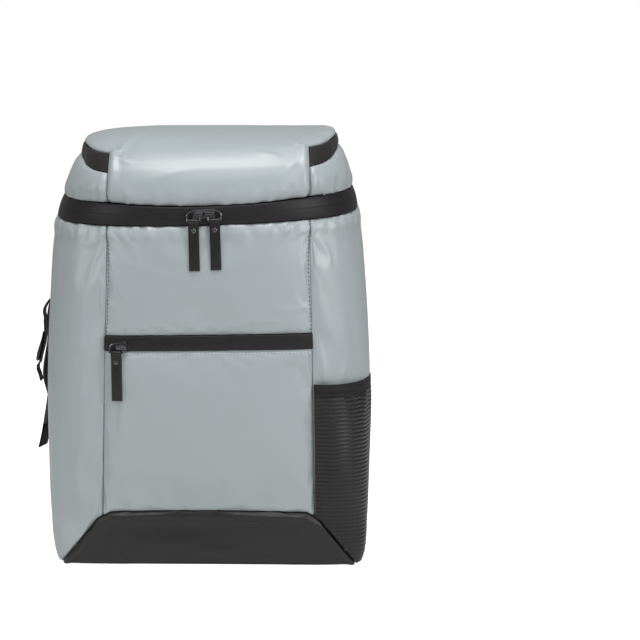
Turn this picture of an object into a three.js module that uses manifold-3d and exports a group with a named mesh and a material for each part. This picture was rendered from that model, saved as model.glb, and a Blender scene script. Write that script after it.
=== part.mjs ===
// Cooler backpack with a domed zip-open lid, in millimetres, +Z up, standing on its base.
// The front faces -Y and the shoulder straps are on the +Y side. The origin is the middle of the base.
import * as THREE from "three";
import { mergeVertices } from "three/addons/utils/BufferGeometryUtils.js";
import Module from "manifold-3d";

const wasm = await Module();
wasm.setup();

// Driving sizes of the insulated bag
const BODY_WIDTH = 312;
const BODY_DEPTH = 190;
const BODY_HEIGHT = 325;
const BASE_DEPTH = 172;
const LID_WIDTH = 284;
const LID_HEIGHT = 58.8;
const PADDED_WALL = 8;
const SEAM_GAP = 0.4;
const ZIP_RISE = 28;
const LID_LEAN = 0.03;
const LID_SAG = 4.5;
const SAG_HEIGHT = 345;
const SAG_SPREAD = 40;
const SAG_DEPTH_SHARE = 0.25;
const BACK_SWING = 5.5;
const SWING_TOP = 390;

// Front seams, back seams and the black kick panel
const SEAM_X_TOP = 93;
const SEAM_X_BOTTOM = 100.5;
const BACK_SEAM_SHARE = 0.84;
const KICK_HEIGHT = 54;
const KICK_SAG = 1.5;
const KICK_FLAT_X = 93;
const KICK_BEVEL_X = 106;
const KICK_BEVEL_HEIGHT = 46;
const KICK_TIP_X = 140;
const KICK_TIP_HEIGHT = 4;
const BASE_THICK = 6;

// Zips
const ZIP_WIDTH = 20;
const TAPE_THICK = 3;
const TAPE_SLIT = 0.5;
const TAPE_PROUD = 0.8;
const POCKET_ZIP_BOTTOM = 209;
const POCKET_ZIP_WIDTH = 14;

// Lid strip, as shares of the way from the zip to the crown
const STRIP_LOW_SHARE = 0.34;
const STRIP_HIGH_SHARE = 0.55;
const STRIP_THICK = 6;
const STRIP_RECESS = 0.8;
const STRIP_NARROWING_SHARE = 0.14;
const STRIP_NARROWING_END = 0.4;

// Side mesh pocket
const POCKET_HEIGHT = 176;
const POCKET_ROOM = 6.5;
const POCKET_WALL = 1.2;
const POCKET_LIFT = 1.5;
const HEM_WIDTH = 11;
const HEM_WALL = 2;

// Back panel and shoulder straps
const BACK_PAD = 10;
const BACK_PAD_PROUD = 2;
const STRAP_WIDTH = 56;
const STRAP_THICK = 10;
const STRAP_SEAT = 0.3;
const STRAP_BOW = 40;
const WEBBING_WIDTH = 25;
const WEBBING_THICK = 1.6;
const WEBBING_GAP = 0.5;

// Ladder locks, strap gussets and the buckle on the left strap
const LOCK_WIDTH = 34;
const LOCK_HEIGHT = 26;
const LOCK_THICK = 4;
const LOCK_RIM = 3.2;
const LOCK_DROP = 22;
const TAIL_LENGTHS = { left: 30, right: 10 };
const TAIL_FLARE = 1.5;
const GUSSET_LOW = 24;
const GUSSET_HIGH = 80;
const GUSSET_REACH = 37;
const GUSSET_FLARE = 145;
const GUSSET_TIP = 33;
const GUSSET_THICK = 2.5;
const GUSSET_LAP = 20;
const SMALL_WEBBING_WIDTH = 18;
const SMALL_WEBBING_TOP_SHARE = 0.738;
const SMALL_WEBBING_LOW_SHARE = 0.455;
const SMALL_WEBBING_BULGE = 3;
const BUCKLE_HEIGHT = 33;
const BUCKLE_BOTTOM_SHARE = 0.526;
const BUCKLE_DEPTH = 22;
const BUCKLE_THICK = 3.2;

// Zip pulls
const SLIDER_LENGTH = 10;
const SLIDER_WIDTH = 8;
const SLIDER_THICK = 1.6;
const BRIDGE_WIDTH = 3;
const BRIDGE_WALL = 0.9;
const WIRE_RADIUS = 0.75;
const RING_WIDTH = 12;
const RING_HEIGHT = 9.2;
const LIMB_OFFSET = 1.6;
const TAB_LENGTH = 44.5;
const TAB_WIDTH = 9.6;
const TAB_THICK = 2.4;
const RIVET_RADIUS = 2.3;
const RIVET_SHANK = 1;
const RIVET_DOME = 0.9;
const RIVET_GAP = 0.2;
const RIVET_STAND = 0.05;
const RIVET_DROP = 8.5;
const PULL_CLEARANCE = 0.3;

// Where each slider sits: its zip, its X, the side on which its tab hangs and how far up the zip's width its
// middle is, as a share.
const PULLS = [
  { name: "main_left", zip: "main", x: -9.2, tabSide: -1, up: 0.58 },
  { name: "main_right", zip: "main", x: 1.1, tabSide: 1, up: 0.6 },
  { name: "pocket", zip: "pocket", x: -79.9, tabSide: -1, up: 0.36 },
];

// The webbing down the left strap's outer edge: shares of its drop from the top and of its bulge off the edge.
const SMALL_WEBBING = [
  { drop: 0, bulge: 0.2 },
  { drop: 0.05, bulge: 0.6 },
  { drop: 0.11, bulge: 0.8 },
  { drop: 0.16, bulge: 0.55 },
  { drop: 0.21, bulge: 0 },
  { drop: 0.4, bulge: 0 },
  { drop: 0.6, bulge: 0 },
  { drop: 0.77, bulge: 0 },
  { drop: 0.81, bulge: 0.75 },
  { drop: 0.86, bulge: 0.7 },
  { drop: 0.92, bulge: 0.1 },
  { drop: 1, bulge: 0 },
];

// The buckle's rounded outer side: share of its height from the bottom and of its thickness.
const BUCKLE_SIDE = [
  { up: 0, thick: 0.45 },
  { up: 0.08, thick: 0.85 },
  { up: 0.3, thick: 1 },
  { up: 0.55, thick: 0.85 },
  { up: 0.8, thick: 0.45 },
  { up: 1, thick: 0.12 },
];

// The straps' middle lines from the top down: how far out (share of half the body's width), how high (share
// of the body's height) and how far behind the back panel (share of the bow) they hang, how far their face
// turns outwards in degrees, and their width (share of the strap's).
const STRAPS = {
  left: [
    { at: 0, out: 0.35, up: 1.03, bow: 0, turn: 0, width: 0.86 },
    { at: 0.1, out: 0.4, up: 0.965, bow: 0.01, turn: 0, width: 0.96 },
    { at: 0.25, out: 0.6, up: 0.885, bow: 0.22, turn: 0, width: 1 },
    { at: 0.42, out: 0.85, up: 0.8, bow: 0.4, turn: 2, width: 1 },
    { at: 0.58, out: 0.985, up: 0.705, bow: 0.5, turn: 6, width: 1 },
    { at: 0.76, out: 1.01, up: 0.59, bow: 0.58, turn: 18, width: 0.98 },
    { at: 0.9, out: 1.105, up: 0.485, bow: 0.62, turn: 54, width: 0.92 },
    { at: 1, out: 1.135, up: 0.415, bow: 0.64, turn: 76, width: 0.74 },
  ],
  right: [
    { at: 0, out: 0.35, up: 1.03, bow: 0, turn: 0, width: 0.86 },
    { at: 0.1, out: 0.39, up: 0.965, bow: 0.01, turn: 0, width: 0.96 },
    { at: 0.25, out: 0.47, up: 0.87, bow: 0.24, turn: 0, width: 1 },
    { at: 0.42, out: 0.54, up: 0.75, bow: 0.48, turn: 0, width: 1 },
    { at: 0.58, out: 0.57, up: 0.62, bow: 0.62, turn: 4, width: 1 },
    { at: 0.76, out: 0.6, up: 0.47, bow: 0.78, turn: 12, width: 0.98 },
    { at: 0.9, out: 0.68, up: 0.345, bow: 1.0, turn: 30, width: 0.92 },
    { at: 1, out: 0.78, up: 0.27, bow: 1.14, turn: 44, width: 0.74 },
  ],
};

// Plan sections of the body from base to zip. Height, width and depth are shares of the body's sizes, waist
// is the share of the depth, from the back, at which it is widest, and the last two say how square the front
// and back corners are.
const BODY_SECTIONS = [
  { at: 0.0, width: 0.915, depth: 0.885, waist: 0.5, front: 14, back: 9 },
  { at: 0.012, width: 0.94, depth: 0.902, waist: 0.5, front: 13, back: 9 },
  { at: 0.05, width: 0.96, depth: 0.913, waist: 0.5, front: 11, back: 8 },
  { at: 0.15, width: 0.975, depth: 0.912, waist: 0.48, front: 8, back: 6 },
  { at: 0.28, width: 0.992, depth: 0.937, waist: 0.45, front: 6, back: 4.4 },
  { at: 0.5, width: 1.005, depth: 0.97, waist: 0.42, front: 4.6, back: 3.2 },
  { at: 0.7, width: 0.998, depth: 0.99, waist: 0.38, front: 3.8, back: 2.9 },
  { at: 0.88, width: 0.975, depth: 1.0, waist: 0.36, front: 3.3, back: 2.9 },
  { at: 1.0, width: 0.95, depth: 1.0, waist: 0.34, front: 3.0, back: 2.9 },
];

// How a ring of the lid is cornered: where it is widest, as for the body, how square its front and back
// corners are, and how much narrower it is at its front.
const corners = (waist, front, back, taper) => ({ waist, front, back, taper });

// Rings of the lid from zip to crown. Height and width are shares of the lid's sizes, reach and inset are how
// far the ring's front and back stand from the back plane, as shares of the body's depth.
const LID_SECTIONS = [
  { at: 0.0, height: 0.0, width: 1.0, reach: 1.0, inset: 0.0, ...corners(0.34, 3.0, 2.9, 0.0) },
  { at: 0.12, height: 0.17, width: 0.99, reach: 1.008, inset: 0.0, ...corners(0.34, 3.2, 3.0, 0.02) },
  { at: 0.24, height: 0.33, width: 0.972, reach: 1.006, inset: 0.0, ...corners(0.34, 3.5, 3.1, 0.05) },
  { at: 0.34, height: 0.48, width: 0.955, reach: 0.988, inset: 0.0, ...corners(0.34, 3.7, 3.2, 0.07) },
  { at: 0.38, height: 0.53, width: 0.948, reach: 0.978, inset: 0.002, ...corners(0.34, 3.7, 3.2, 0.07) },
  { at: 0.47, height: 0.65, width: 0.935, reach: 0.942, inset: 0.004, ...corners(0.34, 3.7, 3.3, 0.07) },
  { at: 0.55, height: 0.76, width: 0.93, reach: 0.892, inset: 0.01, ...corners(0.35, 3.7, 3.4, 0.07) },
  { at: 0.64, height: 0.855, width: 0.91, reach: 0.82, inset: 0.03, ...corners(0.37, 3.6, 3.4, 0.06) },
  { at: 0.74, height: 0.93, width: 0.85, reach: 0.725, inset: 0.08, ...corners(0.4, 3.4, 3.2, 0.05) },
  { at: 0.86, height: 0.98, width: 0.635, reach: 0.585, inset: 0.19, ...corners(0.45, 3.0, 2.8, 0.03) },
  { at: 1.0, height: 1.0, width: 0.01, reach: 0.365, inset: 0.355, ...corners(0.5, 2.4, 2.4, 0.0) },
];

// How far the side pocket's cloth stands off the bag, as a share of its room, from front seam to back.
const POCKET_FOLD = [
  { at: 0.0, off: 0.05 },
  { at: 0.07, off: 0.85 },
  { at: 0.13, off: 1.0 },
  { at: 0.22, off: 0.5 },
  { at: 0.32, off: 0.1 },
  { at: 1.0, off: 0.05 },
];

// Levels up the bag: 0 to 1 is the body, 1 to 2 the zip band, 2 to 3 the lid.
const ZIP_LEVEL = 1;
const LID_LEVEL = 2;
const CROWN_LEVEL = 3;
const HINGE_LEVEL = 1.5;
const STRIP_LOW_LEVEL = LID_LEVEL + STRIP_LOW_SHARE;
const STRIP_HIGH_LEVEL = LID_LEVEL + STRIP_HIGH_SHARE;

const BACK_Y = BASE_DEPTH / 2;
const FRONT_Y = BACK_Y - BODY_DEPTH;
const QUARTER = Math.PI / 2;
const mix = (a, b, share) => a + (b - a) * share;
const levelOf = (height) => height / BODY_HEIGHT;

// How finely the panels are stepped: the lid round each side, the back, half of the front, the body's sides
// along and up, the whole of the main zip and the base's outline
const SIDE_STEPS = 14;
const BACK_STEPS = 12;
const FRONT_STEPS = 4;
const BODY_SIDE_STEPS = 11;
const BODY_SIDE_ROWS = 9;
const MAIN_ZIP_STEPS = 34;
const BASE_STEPS = 48;

// A column of a table at a share, along a smooth curve through its rows.
function smoothColumn(table, at, column) {
  let i = table.findIndex((row) => row.at > at) - 1;
  if (i < 0) i = table.length - 2;
  const row = (k) => table[Math.min(Math.max(k, 0), table.length - 1)];
  const slope = (k) => (row(k + 1)[column] - row(k - 1)[column]) / (row(k + 1).at - row(k - 1).at);
  const span = row(i + 1).at - row(i).at;
  const t = (at - row(i).at) / span;
  const rise = row(i + 1)[column] - row(i)[column];
  return (
    row(i)[column] +
    rise * t * t * (3 - 2 * t) +
    span * t * (1 - t) * (slope(i) * (1 - t) - slope(i + 1) * t)
  );
}

function bodyRing(at) {
  const depth = smoothColumn(BODY_SECTIONS, at, "depth") * BODY_DEPTH;
  return {
    height: at * BODY_HEIGHT,
    halfWidth: (smoothColumn(BODY_SECTIONS, at, "width") * BODY_WIDTH) / 2,
    backY: BACK_Y,
    frontY: BACK_Y - depth,
    waistY: BACK_Y - depth * smoothColumn(BODY_SECTIONS, at, "waist"),
    front: smoothColumn(BODY_SECTIONS, at, "front"),
    back: smoothColumn(BODY_SECTIONS, at, "back"),
    taper: 0,
  };
}

function lidRing(at) {
  const reach = smoothColumn(LID_SECTIONS, at, "reach") * BODY_DEPTH;
  const inset = smoothColumn(LID_SECTIONS, at, "inset") * BODY_DEPTH;
  return {
    height: BODY_HEIGHT + ZIP_WIDTH + smoothColumn(LID_SECTIONS, at, "height") * LID_HEIGHT,
    halfWidth: (smoothColumn(LID_SECTIONS, at, "width") * LID_WIDTH) / 2,
    backY: BACK_Y - inset,
    frontY: BACK_Y - reach,
    waistY: BACK_Y - inset - (reach - inset) * smoothColumn(LID_SECTIONS, at, "waist"),
    front: smoothColumn(LID_SECTIONS, at, "front"),
    back: smoothColumn(LID_SECTIONS, at, "back"),
    taper: smoothColumn(LID_SECTIONS, at, "taper"),
  };
}

function ringAt(level) {
  if (level <= ZIP_LEVEL) return bodyRing(level);
  if (level >= LID_LEVEL) return lidRing(level - LID_LEVEL);
  const low = bodyRing(1);
  const high = lidRing(0);
  return Object.fromEntries(Object.keys(low).map((k) => [k, mix(low[k], high[k], level - ZIP_LEVEL)]));
}

// A ring's point at a turn: 0 is the middle of the front, a quarter turn the +X side, a half turn the back.
function ringPoint(ring, turn) {
  const across = Math.sin(turn);
  const ahead = Math.cos(turn);
  const reach = ahead > 0 ? ring.waistY - ring.frontY : ring.backY - ring.waistY;
  const square = ahead > 0 ? ring.front : ring.back;
  const sum = Math.abs(across / ring.halfWidth) ** square + Math.abs(ahead / reach) ** square;
  const radius = sum ** (-1 / square);
  const y = ring.waistY - radius * ahead;
  return { x: radius * across * (1 - (ring.taper * (BACK_Y - y)) / BODY_DEPTH), y };
}

// The zip runs up towards the back, the filled bag leans a little and its back swings to one side, all fading
// towards the base. In the middle of the front the lid's lower edge sags over the zip.
function settle(x, y, height) {
  const fade = Math.min(height / BODY_HEIGHT, 1) ** 2;
  const behind = (y - FRONT_Y) / BODY_DEPTH;
  const overZip = Math.max(1 - Math.abs(height - SAG_HEIGHT) / SAG_SPREAD, 0) ** 2;
  const inFront = Math.max(1 - (x / SEAM_X_BOTTOM) ** 2, 0) * Math.max(1 - behind / SAG_DEPTH_SHARE, 0);
  const swingFade = Math.max((SWING_TOP - height) / (SWING_TOP - BODY_HEIGHT), 0);
  const swing = Math.min(height / BODY_HEIGHT, swingFade);
  return new THREE.Vector3(
    x - BACK_SWING * swing * behind,
    y,
    height + fade * (ZIP_RISE * behind + LID_LEAN * x) - LID_SAG * overZip * inFront,
  );
}

// The outside of the bag at a turn and a level.
function skin(turn, level) {
  const ring = ringAt(level);
  const { x, y } = ringPoint(ring, turn);
  return settle(x, y, ring.height);
}

// Directions along the skin, over a step each way. The wall's normal is taken over wide steps, which keeps
// the inside of a thick wall from folding over itself at the tight corners.
const STEP = 1e-3;
const TURN_BLEND_ANGLE = 0.08;
const LEVEL_BLEND_SHARE = 0.06;
const alongTurn = (turn, level, step = STEP) =>
  skin(turn + step, level).sub(skin(turn - step, level)).divideScalar(2 * step);
const alongLevel = (turn, level, step = STEP) => {
  const low = Math.max(level - step, 0);
  const high = Math.min(level + step, CROWN_LEVEL);
  return skin(turn, high).sub(skin(turn, low)).divideScalar(high - low);
};
const outward = (turn, level) =>
  alongTurn(turn, level, TURN_BLEND_ANGLE).cross(alongLevel(turn, level, LEVEL_BLEND_SHARE)).normalize();
const turnShift = (turn, level, length) => turn + length / alongTurn(turn, level).length();
const levelShift = (level, length) => level + length / alongLevel(QUARTER, level).length();

function bisect(low, high, isBelow) {
  for (let i = 0; i < 40; i += 1) {
    const middle = (low + high) / 2;
    if (isBelow(middle)) low = middle;
    else high = middle;
  }
  return (low + high) / 2;
}

const turnAtX = (level, x) => bisect(0, QUARTER, (turn) => ringPoint(ringAt(level), turn).x < x);
const backSeamTurn = (level) => {
  const ring = ringAt(level);
  const x = ring.halfWidth * BACK_SEAM_SHARE;
  return bisect(QUARTER, 2 * QUARTER, (turn) => ringPoint(ring, turn).x > x);
};
const seamX = (level) => {
  const low = levelOf(KICK_HEIGHT);
  return mix(SEAM_X_BOTTOM, SEAM_X_TOP, Math.min(Math.max((level - low) / (1 - low), 0), 1));
};
const seamTurn = (level) => turnAtX(level, seamX(level));

// Turns spaced evenly along the outline between two turns, and the share of that length at which a turn lies.
const OUTLINE_SAMPLES = 60;
function outlineLengths(level, from, to) {
  const ring = ringAt(level);
  const lengths = [0];
  let last = ringPoint(ring, from);
  for (let i = 1; i <= OUTLINE_SAMPLES; i += 1) {
    const next = ringPoint(ring, mix(from, to, i / OUTLINE_SAMPLES));
    lengths.push(lengths[i - 1] + Math.hypot(next.x - last.x, next.y - last.y));
    last = next;
  }
  return lengths;
}
function turnAtShare(level, from, to, share) {
  const lengths = outlineLengths(level, from, to);
  const wanted = share * lengths[OUTLINE_SAMPLES];
  let i = 1;
  while (i < OUTLINE_SAMPLES && lengths[i] < wanted) i += 1;
  const part = (wanted - lengths[i - 1]) / (lengths[i] - lengths[i - 1]);
  return mix(from, to, (i - 1 + part) / OUTLINE_SAMPLES);
}
function shareOfTurn(level, from, to, turn) {
  return bisect(0, 1, (share) => turnAtShare(level, from, to, share) < turn);
}

// Orders points round the bag from the middle of the front. The two walls at a seam split their edges'
// squares by it in the same way, so that the twisted ones don't cross.
const roundTheBag = (point) => Math.abs(point.x) + point.y + point.z / 4;

// A closed wall: spots are { outside, inside } pairs of points, faces are triples that face outwards.
function wallGeometry(spots, faces) {
  const count = spots.length;
  const points = [...spots.map((s) => s.outside), ...spots.map((s) => s.inside)];
  const index = [];
  const edges = new Map();
  faces.forEach(([a, b, c]) => {
    index.push(a, b, c, c + count, b + count, a + count);
    [[a, b], [b, c], [c, a]].forEach(([from, to]) => edges.set(`${from},${to}`, [from, to]));
  });
  edges.forEach(([from, to]) => {
    if (edges.has(`${to},${from}`)) return;
    const [inFrom, inTo] = [from + count, to + count];
    if (roundTheBag(points[from]) < roundTheBag(points[to])) index.push(from, inFrom, inTo, from, inTo, to);
    else index.push(from, inFrom, to, to, inFrom, inTo);
  });
  const geometry = new THREE.BufferGeometry().setFromPoints(points);
  geometry.setIndex(index);
  geometry.computeVertexNormals();
  return geometry;
}

// Two triangles for each square of a grid whose rows follow each other.
function gridFaces(rows, columns, spotAt = (row, column) => row * columns + column) {
  const faces = [];
  for (let r = 0; r < rows - 1; r += 1) {
    for (let c = 0; c < columns - 1; c += 1) {
      const [a, b] = [spotAt(r, c), spotAt(r, c + 1)];
      const [d, e] = [spotAt(r + 1, c), spotAt(r + 1, c + 1)];
      faces.push([a, b, e], [a, e, d]);
    }
  }
  return faces;
}

// A spot of wall on the skin, standing proud of it by a length.
function skinSpot(turn, level, thick, proud = 0) {
  const normal = outward(turn, level);
  const outside = skin(turn, level).addScaledVector(normal, proud);
  return { outside, inside: outside.clone().addScaledVector(normal, -thick) };
}

// A panel of wall: a grid of columns and rows, whose turn and level spot gives. Rows are a count or a list.
function panelGeometry({ columns, rows, thick, proud = 0, spot }) {
  const list = Array.isArray(rows) ? rows : evenly(rows);
  const spots = list.flatMap((row) =>
    columns.map((column) => {
      const { turn, level } = spot(column, row);
      return skinSpot(turn, level, thick, proud);
    }),
  );
  return wallGeometry(spots, gridFaces(list.length, columns.length));
}

const evenly = (count, from = 0, to = 1) =>
  Array.from({ length: count + 1 }, (_, i) => mix(from, to, i / count));

// Columns run round the bag the same way on both sides, so that both walls' faces look outwards.
const sided = (side, columns) => (side > 0 ? columns : [...columns].reverse());

const MATERIALS = {
  greyCloth: new THREE.MeshStandardMaterial({ color: 0xa4acae, roughness: 0.4 }),
  blackCoated: new THREE.MeshStandardMaterial({ color: 0x363636, roughness: 0.45 }),
  zipTape: new THREE.MeshStandardMaterial({ color: 0x2b2b2b, roughness: 0.55 }),
  mesh: new THREE.MeshStandardMaterial({ color: 0x2d2d2d, roughness: 0.85 }),
  padding: new THREE.MeshStandardMaterial({ color: 0x26282a, roughness: 0.9 }),
  webbing: new THREE.MeshStandardMaterial({ color: 0x1c1c1c, roughness: 0.8 }),
  plastic: new THREE.MeshStandardMaterial({ color: 0x202020, roughness: 0.5 }),
  darkMetal: new THREE.MeshStandardMaterial({ color: 0x1a1a1a, roughness: 0.3, metalness: 0.9 }),
  pullTab: new THREE.MeshStandardMaterial({ color: 0x303030, roughness: 0.6 }),
  gusset: new THREE.MeshStandardMaterial({ color: 0x3d4347, roughness: 0.7 }),
};

const bag = new THREE.Group();

function addMesh(name, geometry, material, parent = bag) {
  const mesh = new THREE.Mesh(geometry, material);
  mesh.name = name;
  parent.add(mesh);
  return mesh;
}

// The kick panel's upper edge: flat in the middle, bevelled, then straight down to the base's corners.
function kickTop(x) {
  const across = Math.abs(x);
  if (across <= KICK_FLAT_X) return KICK_HEIGHT - KICK_SAG * (across / KICK_FLAT_X) ** 2;
  if (across <= KICK_BEVEL_X) {
    const share = (across - KICK_FLAT_X) / (KICK_BEVEL_X - KICK_FLAT_X);
    return mix(KICK_HEIGHT - KICK_SAG, KICK_BEVEL_HEIGHT, share);
  }
  const share = (across - KICK_BEVEL_X) / (KICK_TIP_X - KICK_BEVEL_X);
  return mix(KICK_BEVEL_HEIGHT, KICK_TIP_HEIGHT, share);
}
const kickSpot = (x, above) => {
  const level = levelOf(kickTop(x) + above);
  return { turn: Math.sign(x) * turnAtX(level, Math.abs(x)), level };
};

function kickPanel() {
  const rows = 3;
  const half = [...evenly(2, 0, KICK_FLAT_X), ...evenly(4, KICK_BEVEL_X, KICK_TIP_X)];
  const columns = [...half.slice(1).reverse().map((x) => -x), ...half];
  return panelGeometry({
    columns,
    rows,
    thick: PADDED_WALL,
    spot: (x, share) => {
      const top = kickSpot(x, 0);
      return { turn: top.turn, level: top.level * share };
    },
  });
}

// A front panel between the two front seams, from a low to a high edge.
function frontPanel({ halfColumns, rows, thick, proud, low, high }) {
  const columns = [...halfColumns.slice(1).reverse().map((x) => -x), ...halfColumns];
  return panelGeometry({
    columns,
    rows,
    thick,
    proud,
    spot: (column, share) => {
      const level = mix(low(column), high, share);
      const edge = turnShift(seamTurn(level), level, -SEAM_GAP / 2);
      return { turn: turnAtShare(level, 0, edge, Math.abs(column)) * Math.sign(column), level };
    },
  });
}

function pocketPanel() {
  const flatShare = KICK_FLAT_X / SEAM_X_BOTTOM;
  return frontPanel({
    halfColumns: [...evenly(3, 0, flatShare), 1],
    rows: 6,
    thick: PADDED_WALL,
    low: (column) => levelOf(kickTop(column * SEAM_X_BOTTOM) + SEAM_GAP),
    high: levelOf(POCKET_ZIP_BOTTOM - SEAM_GAP / 2),
  });
}

function upperFrontPanel() {
  return frontPanel({
    halfColumns: evenly(FRONT_STEPS),
    rows: 4,
    thick: PADDED_WALL,
    low: () => levelOf(POCKET_ZIP_BOTTOM + POCKET_ZIP_WIDTH + SEAM_GAP / 2),
    high: levelShift(ZIP_LEVEL, -SEAM_GAP / 2),
  });
}

function pocketTape(bottom, top) {
  return frontPanel({
    halfColumns: evenly(FRONT_STEPS),
    rows: 1,
    thick: TAPE_THICK,
    proud: TAPE_PROUD,
    low: () => levelOf(bottom),
    high: levelOf(top),
  });
}

// The turns between which a side lies at a level.
const sideEdges = (level) => [
  turnShift(seamTurn(level), level, SEAM_GAP / 2),
  turnShift(backSeamTurn(level), level, -SEAM_GAP / 2),
];

// The lower edge of a side: down the kick panel's slope to its tip, then along the base to the back seam.
function sideColumns(backSteps, above) {
  const slope = evenly(4, KICK_BEVEL_X, KICK_TIP_X).map((x) => {
    const { turn, level } = kickSpot(x + above, above);
    return { level, share: shareOfTurn(level, ...sideEdges(level), turn) };
  });
  const corner = shareOfTurn(0, ...sideEdges(0), kickSpot(KICK_TIP_X + above, above).turn);
  return [
    { level: levelOf(kickTop(SEAM_X_BOTTOM) + above), share: 0 },
    ...slope,
    ...evenly(backSteps, corner, 1).map((share) => ({ level: 0, share })),
  ];
}

function sideSpot(side, column, level) {
  return { turn: side * turnAtShare(level, ...sideEdges(level), column.share), level };
}

function sidePanel(side) {
  const high = levelShift(ZIP_LEVEL, -SEAM_GAP / 2);
  return panelGeometry({
    columns: sided(side, sideColumns(BODY_SIDE_STEPS, SEAM_GAP)),
    rows: BODY_SIDE_ROWS,
    thick: PADDED_WALL,
    spot: (column, share) => sideSpot(side, column, mix(column.level, high, share)),
  });
}

// The lid's strips narrow behind their corners: the seam under them climbs there.
function narrowed(level, share) {
  const below = (level - LID_LEVEL) / (STRIP_LOW_LEVEL - LID_LEVEL);
  const above = (STRIP_HIGH_LEVEL - level) / (STRIP_HIGH_LEVEL - STRIP_LOW_LEVEL);
  const way = Math.min(share / STRIP_NARROWING_END, 1);
  const climb = STRIP_NARROWING_SHARE * way * way * (3 - 2 * way);
  return level + climb * Math.max(Math.min(below, above), 0);
}

// A band of the lid's wall round one side, from the front seam to the back seam, through a list of levels.
function sideBand({ side, levels, columns, thick, proud }) {
  return panelGeometry({
    columns: sided(side, evenly(columns).map((share) => ({ share }))),
    rows: levels,
    thick,
    proud,
    spot: (column, level) => sideSpot(side, column, narrowed(level, column.share)),
  });
}

const LID_SIDE_LEVELS = evenly(
  4,
  levelShift(LID_LEVEL, SEAM_GAP / 2),
  levelShift(STRIP_LOW_LEVEL, -SEAM_GAP / 2),
);
const LID_STRIP_LEVELS = evenly(
  3,
  levelShift(STRIP_LOW_LEVEL, SEAM_GAP / 2),
  levelShift(STRIP_HIGH_LEVEL, -SEAM_GAP / 2),
);

// Half of the main zip's tape: round the front from one back seam to the other.
function mainTape(low, high) {
  return panelGeometry({
    columns: evenly(MAIN_ZIP_STEPS, -1, 1),
    rows: 1,
    thick: TAPE_THICK,
    proud: TAPE_PROUD,
    spot: (column, share) => {
      const level = mix(low, high, share);
      const end = turnShift(backSeamTurn(level), level, -SEAM_GAP / 2);
      return { turn: turnAtShare(level, 0, end, Math.abs(column)) * Math.sign(column), level };
    },
  });
}

// A panel across the back, between the two back seams, through a list of levels.
function acrossBack({ levels, columns, thick, proud }) {
  return panelGeometry({
    columns: evenly(columns, -1, 1),
    rows: levels,
    thick,
    proud,
    spot: (column, level) => {
      const edge = turnShift(backSeamTurn(level), level, SEAM_GAP / 2);
      const turn = turnAtShare(level, edge, 2 * QUARTER, 1 - Math.abs(column));
      return { turn: column > 0 ? 4 * QUARTER - turn : turn, level };
    },
  });
}

// The lid's middle panel: up the front between the seams, then over the whole top in rings at these shares of
// the way to the crown.
const CAP_SHARES = [0.64, 0.74, 0.86, 0.95];
function lidPanel() {
  const frontSteps = 2 * FRONT_STEPS;
  const frontLevels = [...LID_SIDE_LEVELS, ...LID_STRIP_LEVELS.slice(1, -1)];
  const capLevels = CAP_SHARES.map((at) => LID_LEVEL + at);
  const edgeLevel = levelShift(STRIP_HIGH_LEVEL, SEAM_GAP / 2);
  const seam = turnShift(seamTurn(edgeLevel), edgeLevel, -SEAM_GAP / 2);
  const front = evenly(frontSteps, -1, 1).map(
    (share) => Math.sign(share) * turnAtShare(edgeLevel, 0, seam, Math.abs(share)),
  );
  const back = backSeamTurn(edgeLevel);
  const aside = evenly(SIDE_STEPS)
    .slice(1)
    .map((share) => turnAtShare(edgeLevel, seam, back, share));
  const behind = evenly(BACK_STEPS)
    .slice(1, -1)
    .map((share) => turnAtShare(edgeLevel, back, 4 * QUARTER - back, share));
  const round = [...aside, ...behind, ...aside.map((turn) => 4 * QUARTER - turn).reverse()];
  const turns = [...front, ...round];
  const spots = [];
  frontLevels.forEach((level) => {
    const edge = turnShift(seamTurn(level), level, -SEAM_GAP / 2);
    evenly(frontSteps, -1, 1).forEach((share) => {
      const turn = Math.sign(share) * turnAtShare(level, 0, edge, Math.abs(share));
      spots.push(skinSpot(turn, level, PADDED_WALL));
    });
  });
  const capStart = spots.length;
  const onFront = (row, k) => (row < frontLevels.length ? row * (frontSteps + 1) : capStart) + k;
  const faces = gridFaces(frontLevels.length + 1, frontSteps + 1, onFront);
  [edgeLevel, ...capLevels].forEach((level) =>
    turns.forEach((turn) => spots.push(skinSpot(turn, level, PADDED_WALL))),
  );
  const inCap = (ring, k) => capStart + ring * turns.length + (k % turns.length);
  faces.push(...gridFaces(capLevels.length + 1, turns.length + 1, inCap));
  const crown = skin(0, CROWN_LEVEL);
  const down = new THREE.Vector3(0, 0, -PADDED_WALL);
  spots.push({ outside: crown, inside: crown.clone().add(down) });
  turns.forEach((_, k) => {
    faces.push([inCap(capLevels.length, k), inCap(capLevels.length, k + 1), spots.length - 1]);
  });
  return wallGeometry(spots, faces);
}

// The base: the plan of the bottom inside the padded walls, with a flat underside.
function basePanel() {
  const ring = ringAt(0);
  const inset = PADDED_WALL + 2 * SEAM_GAP;
  const inner = {
    ...ring,
    halfWidth: ring.halfWidth - inset,
    frontY: ring.frontY + inset,
    backY: ring.backY - inset,
  };
  const outline = evenly(BASE_STEPS)
    .slice(1)
    .map((share) => {
      const { x, y } = ringPoint(inner, turnAtShare(0, 0, 4 * QUARTER, share));
      return new THREE.Vector2(x, y);
    });
  return new THREE.ExtrudeGeometry(new THREE.Shape(outline), { depth: BASE_THICK, bevelEnabled: false });
}

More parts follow.
